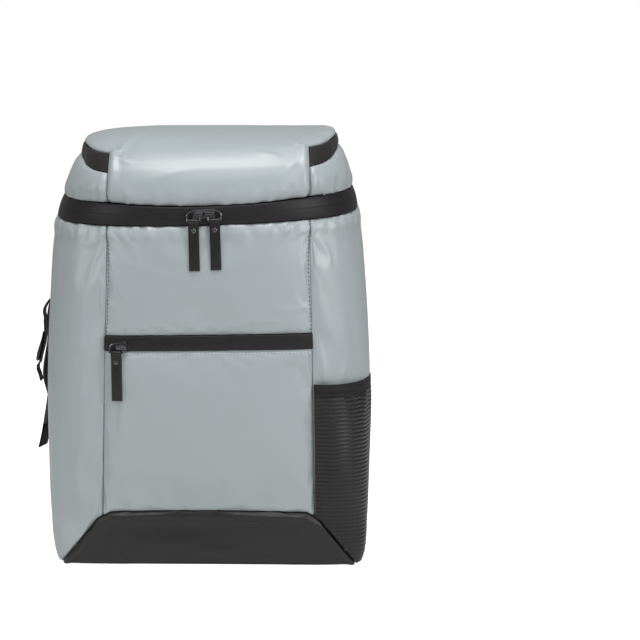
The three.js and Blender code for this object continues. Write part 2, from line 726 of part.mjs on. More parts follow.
// The side pocket's cloth spreads from its foot up to half its height, and its mouth stays as wide as that.
function pocketStandOff(share, height) {
  const up = Math.sin(Math.PI * Math.min(height / POCKET_HEIGHT, 1 / 2));
  return SEAM_GAP + POCKET_ROOM * smoothColumn(POCKET_FOLD, share, "off") * up;
}
function pocketBand({ lowHeight, highHeight, rows, wall }) {
  const columns = sideColumns(BODY_SIDE_STEPS, SEAM_GAP + POCKET_LIFT);
  const spots = [];
  for (let r = 0; r <= rows; r += 1) {
    columns.forEach((column) => {
      const foot = lowHeight ?? Math.max(column.level * BODY_HEIGHT, POCKET_LIFT);
      const height = mix(foot, highHeight, r / rows);
      const { turn, level } = sideSpot(1, column, levelOf(height));
      const normal = outward(turn, level);
      const inside = skin(turn, level).addScaledVector(normal, pocketStandOff(column.share, height));
      spots.push({ inside, outside: inside.clone().addScaledVector(normal, wall) });
    });
  }
  return wallGeometry(spots, gridFaces(rows + 1, columns.length));
}

// Turns a geometry's faces outwards.
function facingOut(geometry) {
  const [at, index] = [geometry.getAttribute("position"), geometry.index.array];
  const corner = (i) => new THREE.Vector3().fromBufferAttribute(at, index[i]);
  let volume = 0;
  for (let i = 0; i < index.length; i += 3) {
    volume += corner(i).dot(corner(i + 1).cross(corner(i + 2)));
  }
  for (let i = 0; volume < 0 && i < index.length; i += 3) {
    [index[i + 1], index[i + 2]] = [index[i + 2], index[i + 1]];
  }
  geometry.computeVertexNormals();
  return geometry;
}

// The directions of a strip at a step of its path: along it, across its width and out of its face.
function stripFrame(path, i, across, isLoop = false) {
  const last = path.length - 1;
  const before = path[isLoop ? (i + last) % path.length : Math.max(i - 1, 0)];
  const after = path[isLoop ? (i + 1) % path.length : Math.min(i + 1, last)];
  const along = after.clone().sub(before).normalize();
  const wide = across.clone().addScaledVector(along, -across.dot(along)).normalize();
  return { along, wide, face: along.clone().cross(wide) };
}

// A strip or a wire swept along a path. The profile's points are [across the width, out of the face].
function sweepGeometry({ path, profile, across, widths, isLoop = false }) {
  const points = [];
  path.forEach((at, i) => {
    const { wide, face } = stripFrame(path, i, Array.isArray(across) ? across[i] : across, isLoop);
    const scale = widths ? widths[i] : 1;
    profile.forEach(([u, v]) => {
      points.push(at.clone().addScaledVector(wide, u * scale).addScaledVector(face, v));
    });
  });
  const sides = profile.length;
  const rows = isLoop ? path.length + 1 : path.length;
  const spotAt = (row, k) => (row % path.length) * sides + (k % sides);
  const index = gridFaces(rows, sides + 1, spotAt).flat();
  if (!isLoop) {
    const end = (path.length - 1) * sides;
    for (let k = 1; k < sides - 1; k += 1) index.push(0, k + 1, k, end, end + k, end + k + 1);
  }
  const geometry = new THREE.BufferGeometry().setFromPoints(points);
  geometry.setIndex(index);
  return facingOut(geometry);
}

const ribbonProfile = (width, thick) => [
  [-width / 2, -thick / 2],
  [width / 2, -thick / 2],
  [width / 2, thick / 2],
  [-width / 2, thick / 2],
];
const roundProfile = (radius, sides) =>
  evenly(sides, 0, 4 * QUARTER)
    .slice(1)
    .map((turn) => [radius * Math.cos(turn), radius * Math.sin(turn)]);
// A padded strap's profile, flat on both faces with rounded edges.
const paddedProfile = (width, thick) => {
  const side = [-QUARTER, -QUARTER / 3, QUARTER / 3, QUARTER].map((turn) => [
    width / 2 - thick / 2 + (Math.cos(turn) * thick) / 2,
    (Math.sin(turn) * thick) / 2,
  ]);
  return [...side, ...side.map(([u, v]) => [-u, -v])];
};

function smoothPath(corners, steps) {
  return new THREE.CatmullRomCurve3(corners, false, "centripetal").getPoints(steps);
}

function toManifold(geometry) {
  const bare = new THREE.BufferGeometry();
  bare.setAttribute("position", geometry.getAttribute("position"));
  bare.setIndex(geometry.index);
  const merged = mergeVertices(bare, 1e-4);
  return new wasm.Manifold(
    new wasm.Mesh({
      numProp: 3,
      vertProperties: merged.getAttribute("position").array,
      triVerts: new Uint32Array(merged.index.array),
    }),
  );
}

function fromManifold(solid) {
  const mesh = solid.getMesh();
  const geometry = new THREE.BufferGeometry();
  geometry.setAttribute("position", new THREE.BufferAttribute(mesh.vertProperties, mesh.numProp));
  geometry.setIndex(new THREE.BufferAttribute(mesh.triVerts, 1));
  geometry.computeVertexNormals();
  return geometry;
}

// The straps' middle line, width direction and width at a share of the way down.
const STRAP_STEPS = 18;
function strapLine(side, rows) {
  return evenly(STRAP_STEPS).map((at) => {
    const value = (column) => smoothColumn(rows, at, column);
    const turn = THREE.MathUtils.degToRad(value("turn"));
    return {
      point: new THREE.Vector3(
        (side * value("out") * BODY_WIDTH) / 2,
        BACK_Y + BACK_PAD_PROUD + STRAP_SEAT + STRAP_THICK / 2 + value("bow") * STRAP_BOW,
        value("up") * BODY_HEIGHT,
      ),
      across: new THREE.Vector3(Math.cos(turn), -side * Math.sin(turn), 0),
      width: value("width"),
    };
  });
}

// A hairpin round a bar of a ladder lock, in the lock's plane of depth and height: up behind it and down in
// front, with a squarish bend so that the webbing clears the bar's corners.
const BEND_POWER = 0.6;
function hairpin(depth, middle, reach, heights) {
  const bend = evenly(8, 2 * QUARTER, 0).map((turn) => [
    depth * Math.sign(Math.cos(turn)) * Math.abs(Math.cos(turn)) ** BEND_POWER,
    middle + reach * Math.sin(turn) ** BEND_POWER,
  ]);
  return [[-depth, heights[0]], ...bend, [depth, heights[1]]].map(([d, z]) => new THREE.Vector3(0, d, z));
}

// The triangle of cloth that ties a strap to the back seam: its corners at the seam and its tip.
function gussetCorners(side) {
  const seam = (height) => {
    const level = levelOf(height);
    const turn = turnShift(backSeamTurn(level), level, -2 * GUSSET_THICK);
    return skin(side * turn, level).addScaledVector(outward(side * turn, level), GUSSET_THICK);
  };
  const tip = new THREE.Vector3(side * GUSSET_FLARE, BACK_Y + GUSSET_REACH, GUSSET_TIP);
  return { high: seam(GUSSET_HIGH), low: seam(GUSSET_LOW), tip };
}

function gussetGeometry(side) {
  const { high, low, tip } = gussetCorners(side);
  const shift = tip.clone().sub(high).cross(low.clone().sub(high)).setLength(GUSSET_THICK / 2);
  const spots = [high, low, tip].map((corner) => ({
    outside: corner.clone().add(shift),
    inside: corner.clone().sub(shift),
  }));
  return facingOut(wallGeometry(spots, [[0, 2, 1]]));
}

function addStrap(name, side) {
  const line = strapLine(side, STRAPS[name]);
  const path = line.map((row) => row.point);
  const end = path.length - 1;
  addMesh(
    `shoulder_strap_${name}`,
    sweepGeometry({
      path,
      profile: paddedProfile(STRAP_WIDTH, STRAP_THICK),
      across: line.map((row) => row.across),
      widths: line.map((row) => row.width),
    }),
    MATERIALS.padding,
  );

  // The ladder lock hangs in line with the strap's end: X across it, Y out of its face and Z up the strap.
  const { along, wide, face } = stripFrame(path, end, line[end].across);
  const out = face.dot(new THREE.Vector3(side, 1, 0)) > 0 ? face : face.clone().negate();
  const up = along.clone().negate();
  const right = out.clone().cross(up);
  const lock = new THREE.Group();
  lock.name = `lock_place_${name}`;
  lock.matrixAutoUpdate = false;
  lock.matrix.makeBasis(right, out, up).setPosition(path[end].clone().addScaledVector(along, LOCK_DROP));
  bag.add(lock);

  const frame = new THREE.Shape();
  const [halfWidth, halfHeight] = [LOCK_WIDTH / 2, LOCK_HEIGHT / 2];
  frame.moveTo(-halfWidth, -halfHeight);
  frame.lineTo(halfWidth, -halfHeight);
  frame.lineTo(halfWidth, halfHeight);
  frame.lineTo(-halfWidth, halfHeight);
  const slotHeight = (LOCK_HEIGHT - 3 * LOCK_RIM) / 2;
  [-1, 1].forEach((which) => {
    const [low, inner] = [which * (LOCK_RIM / 2), halfWidth - LOCK_RIM];
    const hole = new THREE.Path();
    hole.moveTo(-inner, low);
    hole.lineTo(inner, low);
    hole.lineTo(inner, low + which * slotHeight);
    hole.lineTo(-inner, low + which * slotHeight);
    frame.holes.push(hole);
  });
  const plate = new THREE.ExtrudeGeometry(frame, { depth: LOCK_THICK, bevelEnabled: false });
  plate.translate(0, 0, -LOCK_THICK / 2).rotateX(QUARTER);
  addMesh(`ladder_lock_${name}`, plate, MATERIALS.plastic, lock);

  // The strap's own short loop of webbing holds the lock's top bar.
  const depth = LOCK_THICK / 2 + WEBBING_GAP + WEBBING_THICK / 2;
  const bend = LOCK_RIM / 2 + WEBBING_GAP + WEBBING_THICK / 2;
  const topBar = halfHeight - LOCK_RIM / 2;
  const toStrap = LOCK_DROP - SEAM_GAP;
  const keeper = hairpin(depth, 0, bend, [topBar - toStrap, topBar - toStrap]);
  keeper.forEach((point) => point.setZ(topBar - point.z));
  addMesh(
    `strap_keeper_${name}`,
    sweepGeometry({
      path: keeper,
      profile: ribbonProfile(WEBBING_WIDTH, WEBBING_THICK),
      across: new THREE.Vector3(1, 0, 0),
    }),
    MATERIALS.webbing,
    lock,
  );

  // The adjusting webbing comes from under the gusset's tip, turns round the middle bar and ends free.
  const { high, low, tip } = gussetCorners(side);
  const middle = high.clone().add(low).multiplyScalar(0.5);
  const inwards = middle.clone().sub(tip).normalize();
  const behind = high.clone().sub(tip).cross(low.clone().sub(tip)).normalize();
  if (behind.y < 0) behind.negate();
  const lift = GUSSET_THICK / 2 + WEBBING_GAP + WEBBING_THICK / 2;
  const onGusset = (lap, off = lift) =>
    tip.clone().addScaledVector(inwards, lap).addScaledVector(behind, off);
  const round = hairpin(depth, 0, bend, [-halfHeight - LOCK_THICK, -halfHeight]);
  const tailLength = TAIL_LENGTHS[name];
  const tail = [
    new THREE.Vector3(0, depth + TAIL_FLARE / 4, -halfHeight - tailLength / 2),
    new THREE.Vector3(0, depth + TAIL_FLARE, -halfHeight - tailLength),
  ];
  const placed = [...round, ...tail].map((point) => point.applyMatrix4(lock.matrix));
  const below = new THREE.Vector3(0, -depth - WEBBING_GAP, -halfHeight - 3 * LOCK_THICK);
  below.applyMatrix4(lock.matrix);
  const atTip = onGusset(0, lift + WEBBING_GAP);
  const leadPoints = [onGusset(GUSSET_LAP), onGusset(GUSSET_LAP / 2), atTip, below, placed[0]];
  const lead = smoothPath(leadPoints, 12).slice(0, -1);
  const onLead = inwards.clone().cross(behind);
  if (onLead.dot(right) < 0) onLead.negate();
  // The webbing lies flat on the gusset for half of its lead and turns to the lock in the next quarter.
  const twist = (i) => THREE.MathUtils.clamp((4 * i) / lead.length - 2, 0, 1);
  const across = [
    ...lead.map((_, i) => onLead.clone().lerp(right, twist(i))),
    ...placed.map(() => right),
  ];
  addMesh(
    `strap_webbing_${name}`,
    sweepGeometry({
      path: [...lead, ...placed],
      profile: ribbonProfile(WEBBING_WIDTH, WEBBING_THICK),
      across,
    }),
    MATERIALS.webbing,
  );
  addMesh(`strap_gusset_${name}`, gussetGeometry(side), MATERIALS.gusset);
}

// The outer edge of the left strap at a height.
function leftStrapEdge(height) {
  const at = bisect(0, 1, (share) => smoothColumn(STRAPS.left, share, "up") * BODY_HEIGHT > height);
  const value = (column) => smoothColumn(STRAPS.left, at, column);
  const turn = THREE.MathUtils.degToRad(value("turn"));
  const reach = (STRAP_WIDTH / 2) * value("width") * Math.cos(turn) + (STRAP_THICK / 2) * Math.sin(turn);
  return new THREE.Vector3(
    (-value("out") * BODY_WIDTH) / 2 - reach,
    BACK_Y + BACK_PAD_PROUD + STRAP_SEAT + STRAP_THICK / 2 + value("bow") * STRAP_BOW,
    height,
  );
}

function smallWebbingGeometry() {
  const flat = WEBBING_THICK / 2 + 2 * WEBBING_GAP;
  const path = SMALL_WEBBING.map(({ drop, bulge }) => {
    const share = mix(SMALL_WEBBING_TOP_SHARE, SMALL_WEBBING_LOW_SHARE, drop);
    const point = leftStrapEdge(share * BODY_HEIGHT);
    return point.setX(point.x - flat - bulge * SMALL_WEBBING_BULGE);
  });
  return sweepGeometry({
    path,
    profile: ribbonProfile(SMALL_WEBBING_WIDTH, WEBBING_THICK),
    across: new THREE.Vector3(0, 1, 0),
  });
}

function buckleGeometry() {
  const bottom = BUCKLE_BOTTOM_SHARE * BODY_HEIGHT;
  const middle = leftStrapEdge(bottom + BUCKLE_HEIGHT / 2);
  const corner = (up, thick) => {
    const height = bottom + up * BUCKLE_HEIGHT;
    const off = WEBBING_THICK + 3 * WEBBING_GAP + thick * BUCKLE_THICK;
    return new THREE.Vector2(leftStrapEdge(height).x - off, height);
  };
  const side = new THREE.Shape([
    corner(0, 0),
    ...BUCKLE_SIDE.map(({ up, thick }) => corner(up, thick)),
    corner(1, 0),
    corner(0.5, 0),
  ]);
  return new THREE.ExtrudeGeometry(side, { depth: BUCKLE_DEPTH, bevelEnabled: false })
    .rotateX(QUARTER)
    .translate(0, middle.y + BUCKLE_DEPTH / 2, 0);
}

// A slider with its bridge: X along the zip, Y into the bag and Z up, its back on the tape.
function sliderGeometry() {
  const plate = new THREE.BoxGeometry(SLIDER_LENGTH, SLIDER_THICK, SLIDER_WIDTH);
  plate.translate(0, -SLIDER_THICK / 2, 0);
  const room = 2 * (WIRE_RADIUS + PULL_CLEARANCE);
  const halfBridge = SLIDER_LENGTH / 2 - BRIDGE_WALL / 2;
  const arch = new THREE.Shape();
  arch.moveTo(-halfBridge, -SLIDER_THICK / 2);
  arch.lineTo(-halfBridge, room);
  arch.lineTo(-halfBridge + BRIDGE_WALL, room + BRIDGE_WALL);
  arch.lineTo(halfBridge - BRIDGE_WALL, room + BRIDGE_WALL);
  arch.lineTo(halfBridge, room);
  arch.lineTo(halfBridge, -SLIDER_THICK / 2);
  arch.lineTo(halfBridge - BRIDGE_WALL, -SLIDER_THICK / 2);
  arch.lineTo(halfBridge - BRIDGE_WALL, room);
  arch.lineTo(-halfBridge + BRIDGE_WALL, room);
  arch.lineTo(-halfBridge + BRIDGE_WALL, -SLIDER_THICK / 2);
  const bridge = new THREE.ExtrudeGeometry(arch, { depth: BRIDGE_WIDTH, bevelEnabled: false });
  bridge.translate(0, SLIDER_THICK, -BRIDGE_WIDTH / 2).rotateZ(2 * QUARTER);
  return fromManifold(toManifold(plate).add(toManifold(bridge)));
}

// The tab: a strip folded over the ring's straight side, with a hole for the rivet. Z = 0 is the ring's
// straight side.
const circle = (radius, from, to) =>
  evenly(10, from, to).map((turn) => new THREE.Vector2(radius * Math.cos(turn), radius * Math.sin(turn)));
function tabGeometry() {
  const inner = WIRE_RADIUS + PULL_CLEARANCE;
  const outer = inner + TAB_THICK / 2;
  const half = TAB_THICK / 2;
  const neck = Math.asin(half / outer);
  const side = new THREE.Shape([
    ...circle(outer, neck - QUARTER, 3 * QUARTER - neck),
    new THREE.Vector2(-half, -TAB_LENGTH),
    new THREE.Vector2(half, -TAB_LENGTH),
  ]);
  side.holes.push(new THREE.Path(circle(inner, 0, 4 * QUARTER).slice(1)));
  const body = new THREE.ExtrudeGeometry(side, { depth: TAB_WIDTH, bevelEnabled: false });
  body.rotateY(QUARTER).rotateX(QUARTER).translate(-TAB_WIDTH / 2, 0, 0);
  const holeRadius = RIVET_SHANK + RIVET_GAP;
  const hole = new THREE.CylinderGeometry(holeRadius, holeRadius, 2 * TAB_THICK, 12);
  hole.translate(0, 0, -RIVET_DROP);
  return fromManifold(toManifold(body).subtract(toManifold(hole)));
}

addMesh("kick_panel", kickPanel(), MATERIALS.blackCoated);
addMesh("pocket_panel", pocketPanel(), MATERIALS.greyCloth);
addMesh("front_panel", upperFrontPanel(), MATERIALS.greyCloth);
const pocketZipMiddle = POCKET_ZIP_BOTTOM + POCKET_ZIP_WIDTH / 2;
addMesh(
  "pocket_zip_lower",
  pocketTape(POCKET_ZIP_BOTTOM + SEAM_GAP / 2, pocketZipMiddle - TAPE_SLIT / 2),
  MATERIALS.zipTape,
);
addMesh(
  "pocket_zip_upper",
  pocketTape(pocketZipMiddle + TAPE_SLIT / 2, POCKET_ZIP_BOTTOM + POCKET_ZIP_WIDTH - SEAM_GAP / 2),
  MATERIALS.zipTape,
);
[["left", -1], ["right", 1]].forEach(([name, side]) => {
  addMesh(`side_panel_${name}`, sidePanel(side), MATERIALS.greyCloth);
  addMesh(
    `lid_side_${name}`,
    sideBand({
      side,
      levels: LID_SIDE_LEVELS,
      columns: SIDE_STEPS,
      thick: PADDED_WALL,
    }),
    MATERIALS.greyCloth,
  );
  addMesh(
    `lid_strip_${name}`,
    sideBand({
      side,
      levels: LID_STRIP_LEVELS,
      columns: SIDE_STEPS,
      thick: STRIP_THICK,
      proud: -STRIP_RECESS,
    }),
    MATERIALS.blackCoated,
  );
});
const slitShare = TAPE_SLIT / ZIP_WIDTH / 2;
addMesh(
  "main_zip_lower",
  mainTape(levelShift(ZIP_LEVEL + STEP, SEAM_GAP / 2), HINGE_LEVEL - slitShare),
  MATERIALS.zipTape,
);
addMesh(
  "main_zip_upper",
  mainTape(HINGE_LEVEL + slitShare, levelShift(LID_LEVEL - STEP, -SEAM_GAP / 2)),
  MATERIALS.zipTape,
);
addMesh("lid_panel", lidPanel(), MATERIALS.greyCloth);
addMesh(
  "back_panel",
  acrossBack({
    levels: [...evenly(7, 0, levelShift(ZIP_LEVEL, -SEAM_GAP / 2)), HINGE_LEVEL - slitShare],
    columns: BACK_STEPS,
    thick: BACK_PAD,
    proud: BACK_PAD_PROUD,
  }),
  MATERIALS.padding,
);
addMesh(
  "lid_back",
  acrossBack({
    levels: [HINGE_LEVEL + slitShare, ...LID_SIDE_LEVELS, ...LID_STRIP_LEVELS],
    columns: BACK_STEPS,
    thick: PADDED_WALL,
  }),
  MATERIALS.greyCloth,
);
addMesh("base_panel", basePanel(), MATERIALS.blackCoated);
addMesh(
  "side_pocket",
  pocketBand({ highHeight: POCKET_HEIGHT - HEM_WIDTH - SEAM_GAP, rows: 6, wall: POCKET_WALL }),
  MATERIALS.mesh,
);
addMesh(
  "side_pocket_hem",
  pocketBand({ lowHeight: POCKET_HEIGHT - HEM_WIDTH, highHeight: POCKET_HEIGHT, rows: 1, wall: HEM_WALL }),
  MATERIALS.webbing,
);

// A pull: its slider lies on the tape, and its ring holds the tab. The pull's own frame has X along the zip,
// Y into the bag and Z up the skin, with Y = 0 on the tape.
function addPull({ name, zip, x, tabSide, up: share }) {
  const level = zip === "main" ? ZIP_LEVEL + share : levelOf(POCKET_ZIP_BOTTOM + share * POCKET_ZIP_WIDTH);
  const turn = Math.sign(x) * turnAtX(level, Math.abs(x));
  const into = outward(turn, level).negate();
  const along = alongTurn(turn, level).normalize();
  const up = along.clone().cross(into).normalize();
  const place = new THREE.Group();
  place.name = `pull_place_${name}`;
  place.matrixAutoUpdate = false;
  place.matrix
    .makeBasis(into.clone().cross(up), into, up)
    .setPosition(skin(turn, level).addScaledVector(into, -TAPE_PROUD - PULL_CLEARANCE));
  bag.add(place);
  addMesh(`slider_${name}`, sliderGeometry(), MATERIALS.darkMetal, place);

  // The ring's inner limb passes under the bridge, so that the tab hangs beside the slider's middle.
  const wireDepth = -SLIDER_THICK - PULL_CLEARANCE - WIRE_RADIUS;
  const ringX = tabSide * (RING_WIDTH / 2 - LIMB_OFFSET);
  const low = -SLIDER_WIDTH / 2 - WIRE_RADIUS - 2 * PULL_CLEARANCE - TAB_THICK / 2;
  const shoulder = low + RING_HEIGHT / 2;
  const half = RING_WIDTH / 2;
  const ring = [
    ...evenly(12, 0, 2 * QUARTER).map((angle) => [
      half * Math.cos(angle),
      shoulder + (RING_HEIGHT / 2) * Math.sin(angle),
    ]),
    [-half, low + WIRE_RADIUS],
    [-half + WIRE_RADIUS, low],
    [half - WIRE_RADIUS, low],
    [half, low + WIRE_RADIUS],
  ];
  addMesh(
    `pull_ring_${name}`,
    sweepGeometry({
      path: ring.map(([u, z]) => new THREE.Vector3(ringX + u, wireDepth, z)),
      profile: roundProfile(WIRE_RADIUS, 8),
      across: new THREE.Vector3(0, 1, 0),
      isLoop: true,
    }),
    MATERIALS.darkMetal,
    place,
  );
  const tab = addMesh(`pull_tab_${name}`, tabGeometry(), MATERIALS.pullTab, place);
  tab.position.set(ringX, wireDepth, low);
  const rivet = addMesh(`pull_rivet_${name}`, rivetGeometry(), MATERIALS.darkMetal, place);
  rivet.position.set(ringX, wireDepth, low - RIVET_DROP);
}

// A domed rivet: its shank runs through the tab and its head stands just off the tab's face.
function rivetGeometry() {
  const face = TAB_THICK / 2 + RIVET_STAND;
  const corner = (radius, y) => new THREE.Vector2(radius, y);
  const shank = [
    corner(0, -TAB_THICK / 2),
    corner(RIVET_SHANK, -TAB_THICK / 2),
    corner(RIVET_SHANK, face),
  ];
  const dome = evenly(4, 0, QUARTER).map((turn) =>
    corner(RIVET_RADIUS * Math.cos(turn), face + RIVET_DOME * Math.sin(turn)),
  );
  dome[dome.length - 1].setX(0);
  return new THREE.LatheGeometry([...shank, ...dome], 16).rotateX(2 * QUARTER);
}

PULLS.forEach(addPull);
addStrap("left", -1);
addStrap("right", 1);
addMesh("edge_webbing_left", smallWebbingGeometry(), MATERIALS.webbing);
addMesh("edge_buckle_left", buckleGeometry(), MATERIALS.plastic);

export default bag;
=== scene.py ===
# The camera and the studio. The bag stands on a pale floor under a soft light from above, with weaker
# ones in front and at each side, the right one the stronger, and is seen almost straight on from a little
# above.
import math
import bmesh
import bpy
import numpy as np
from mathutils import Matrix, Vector


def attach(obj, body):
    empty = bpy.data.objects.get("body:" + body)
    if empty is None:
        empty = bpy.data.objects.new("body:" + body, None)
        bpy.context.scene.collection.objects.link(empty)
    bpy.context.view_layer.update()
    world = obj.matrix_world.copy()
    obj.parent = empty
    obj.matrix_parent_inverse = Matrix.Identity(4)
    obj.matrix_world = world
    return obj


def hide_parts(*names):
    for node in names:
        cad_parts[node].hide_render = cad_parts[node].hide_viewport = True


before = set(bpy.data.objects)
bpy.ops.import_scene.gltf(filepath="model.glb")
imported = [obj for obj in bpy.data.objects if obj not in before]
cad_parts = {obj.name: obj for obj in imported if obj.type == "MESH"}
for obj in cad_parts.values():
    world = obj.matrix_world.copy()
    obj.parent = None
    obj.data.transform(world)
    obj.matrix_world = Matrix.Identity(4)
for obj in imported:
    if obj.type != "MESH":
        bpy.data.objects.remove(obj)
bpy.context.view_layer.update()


def colour(code):
    """An sRGB hex code as the linear colour that Blender's sockets take."""
    channels = [int(code[i:i + 2], 16) / 255 for i in (0, 2, 4)]
    linear = [c / 12.92 if c <= 0.04045 else ((c + 0.055) / 1.055) ** 2.4 for c in channels]
    return (*linear, 1.0)


CAMERA_PLACE = Vector((0.017, -1.085, 0.334))
CAMERA_AIM = Vector((0.0, -0.009, 0.215))
PHOTO_PIXELS = 640
FOCAL_PIXELS = 1080.3
AXIS_PIXEL = (210.0, 333.2)
SENSOR = 36.0
lens = bpy.data.cameras.new("camera")
lens.sensor_width = SENSOR
lens.lens = SENSOR * FOCAL_PIXELS / PHOTO_PIXELS
lens.shift_x = (PHOTO_PIXELS / 2 - AXIS_PIXEL[0]) / PHOTO_PIXELS
lens.shift_y = (AXIS_PIXEL[1] - PHOTO_PIXELS / 2) / PHOTO_PIXELS
camera = bpy.data.objects.new("camera", lens)
camera.location = CAMERA_PLACE
camera.rotation_euler = (CAMERA_AIM - CAMERA_PLACE).to_track_quat("-Z", "Y").to_euler()
bpy.context.scene.collection.objects.link(camera)
bpy.context.scene.camera = camera
bpy.context.scene.view_settings.view_transform = "Standard"

for name, place, size, watts in [
    ("light_above", (0.0, -0.5, 1.55), 0.9, 20.0),
    ("light_front", (0.3, -1.9, 1.1), 1.4, 2.5),
    ("light_left", (-1.2, -0.9, 0.7), 0.5, 4.5),
    ("light_right", (1.1, -1.0, 0.7), 0.5, 9.0),
]:
    data = bpy.data.lights.new(name, "AREA")
    data.size = size
    data.energy = watts
    light = bpy.data.objects.new(name, data)
    light.location = place
    aim = Vector((0, 0, 0.2)) - Vector(place)
    light.rotation_euler = aim.to_track_quat("-Z", "Y").to_euler()
    bpy.context.scene.collection.objects.link(light)

world = bpy.data.worlds.new("studio")
world.use_nodes = True
world.node_tree.nodes["Background"].inputs["Color"].default_value = colour("ffffff")
bpy.context.scene.world = world


def add(tree, kind, inputs=None, links=None, **settings):
    """Adds a node with its settings, the values of its sockets and the sockets that feed it."""
    made = tree.nodes.new(kind)
    for key, value in settings.items():
        setattr(made, key, value)
    for key, value in (inputs or {}).items():
        made.inputs[key].default_value = value
    for key, source in (links or {}).items():
        tree.links.new(source, made.inputs[key])
    return made


def new_material(name):
    """A bare material: its tree, its shader and the coordinates that its patterns read."""
    made = bpy.data.materials.new(name)
    made.use_nodes = True
    tree = made.node_tree
    return made, tree, tree.nodes["Principled BSDF"], add(tree, "ShaderNodeTexCoord")


# The white surround is full white to the camera and a softer light on the bag.
SURROUND_LIGHT = 0.3
ray = add(world.node_tree, "ShaderNodeLightPath")
strength = add(world.node_tree, "ShaderNodeMapRange", {"To Min": SURROUND_LIGHT, "To Max": 1.0},
               {"Value": ray.outputs["Is Camera Ray"]})
world.node_tree.links.new(strength.outputs["Result"], world.node_tree.nodes["Background"].inputs["Strength"])

# Matt white paper that looks evenly white to the camera, as if lit through from below.
paper, tree, shader, coords = new_material("paper_floor")
shader.inputs["Roughness"].default_value = 0.9
shader.inputs["Specular IOR Level"].default_value = 0.2
shader.inputs["Base Color"].default_value = colour("f6f6f6")
shader.inputs["Emission Color"].default_value = colour("ffffff")
ray = add(tree, "ShaderNodeLightPath")
glow = add(tree, "ShaderNodeMath", {1: 0.85}, {0: ray.outputs["Is Camera Ray"]}, operation="MULTIPLY")
tree.links.new(glow.outputs["Value"], shader.inputs["Emission Strength"])

FLOOR_HALF = 8.0
FLOOR_CORNERS = [(-1, -1), (1, -1), (1, 1), (-1, 1)]
floor_mesh = bpy.data.meshes.new("floor")
floor_mesh.from_pydata([(x * FLOOR_HALF, y * FLOOR_HALF, 0) for x, y in FLOOR_CORNERS], [], [(0, 1, 2, 3)])
floor_mesh.materials.append(paper)
floor = bpy.data.objects.new("floor", floor_mesh)
bpy.context.scene.collection.objects.link(floor)

# The grey padded panels of the body: coated cloth over foam, sewn edge to edge, so each panel rolls into
# its seams and puckers along the zips. The bag's filled shape, which all of the outer cloth follows,
# comes first.
BODY_WIDTH = 0.312
BODY_DEPTH = 0.190
BODY_HEIGHT = 0.325
BASE_DEPTH = 0.172
LID_WIDTH = 0.284
LID_HEIGHT = 0.0588
PADDED_WALL = 0.0072
SEAM_GAP = 0.0004
ZIP_WIDTH = 0.020
ZIP_RISE = 0.028
LID_LEAN = 0.03
LID_SAG = 0.0045
SAG_HEIGHT = 0.345
SAG_SPREAD = 0.040
SAG_DEPTH = 0.25
BACK_SWING = 0.0055
SWING_TOP = 0.390
BACK_Y = BASE_DEPTH / 2
FRONT_Y = BACK_Y - BODY_DEPTH
QUARTER = math.pi / 2

# Plan sections from base to zip: height, width and depth as shares of the body's, where it is widest as a
# share of the depth from the back, and how square its front and back corners are.
BODY_SECTIONS = {
    "at": [0, 0.012, 0.05, 0.15, 0.28, 0.5, 0.7, 0.88, 1],
    "width": [0.915, 0.94, 0.96, 0.975, 0.992, 1.005, 0.998, 0.975, 0.95],
    "depth": [0.885, 0.902, 0.913, 0.912, 0.937, 0.97, 0.99, 1.0, 1.0],
    "waist": [0.5, 0.5, 0.5, 0.48, 0.45, 0.42, 0.38, 0.36, 0.34],
    "front": [14, 13, 11, 8, 6, 4.6, 3.8, 3.3, 3.0],
    "back": [9, 9, 8, 6, 4.4, 3.2, 2.9, 2.9, 2.9],
}
# Rings of the lid from zip to crown, with how far their front and back stand from the bag's back plane
# and how much narrower they are at the front.
LID_SECTIONS = {
    "at": [0, 0.12, 0.24, 0.34, 0.38, 0.47, 0.55, 0.64, 0.74, 0.86, 1],
    "height": [0, 0.17, 0.33, 0.48, 0.53, 0.65, 0.76, 0.855, 0.93, 0.98, 1],
    "width": [1, 0.99, 0.972, 0.955, 0.948, 0.935, 0.93, 0.91, 0.85, 0.635, 0.01],
    "reach": [1, 1.008, 1.006, 0.988, 0.978, 0.942, 0.892, 0.82, 0.725, 0.585, 0.365],
    "inset": [0, 0, 0, 0, 0.002, 0.004, 0.01, 0.03, 0.08, 0.19, 0.355],
    "waist": [0.34, 0.34, 0.34, 0.34, 0.34, 0.34, 0.35, 0.37, 0.4, 0.45, 0.5],
    "front": [3, 3.2, 3.5, 3.7, 3.7, 3.7, 3.7, 3.6, 3.4, 3, 2.4],
    "back": [2.9, 3, 3.1, 3.2, 3.2, 3.3, 3.4, 3.4, 3.2, 2.8, 2.4],
    "taper": [0, 0.02, 0.05, 0.07, 0.07, 0.07, 0.07, 0.06, 0.05, 0.03, 0],
}


def column(table, at, name):
    """A column of a table at a share, along a smooth curve through its rows."""
    places, values = np.array(table["at"], float), np.array(table[name], float)
    low = np.clip(np.arange(len(places)) - 1, 0, None)
    high = np.clip(np.arange(len(places)) + 1, None, len(places) - 1)
    slopes = (values[high] - values[low]) / (places[high] - places[low])
    i = np.clip(np.searchsorted(places, at, side="right") - 1, 0, len(places) - 2)
    span, rise = places[i + 1] - places[i], values[i + 1] - values[i]
    t = (at - places[i]) / span
    ease = slopes[i] * (1 - t) - slopes[i + 1] * t
    return values[i] + rise * t * t * (3 - 2 * t) + span * t * (1 - t) * ease


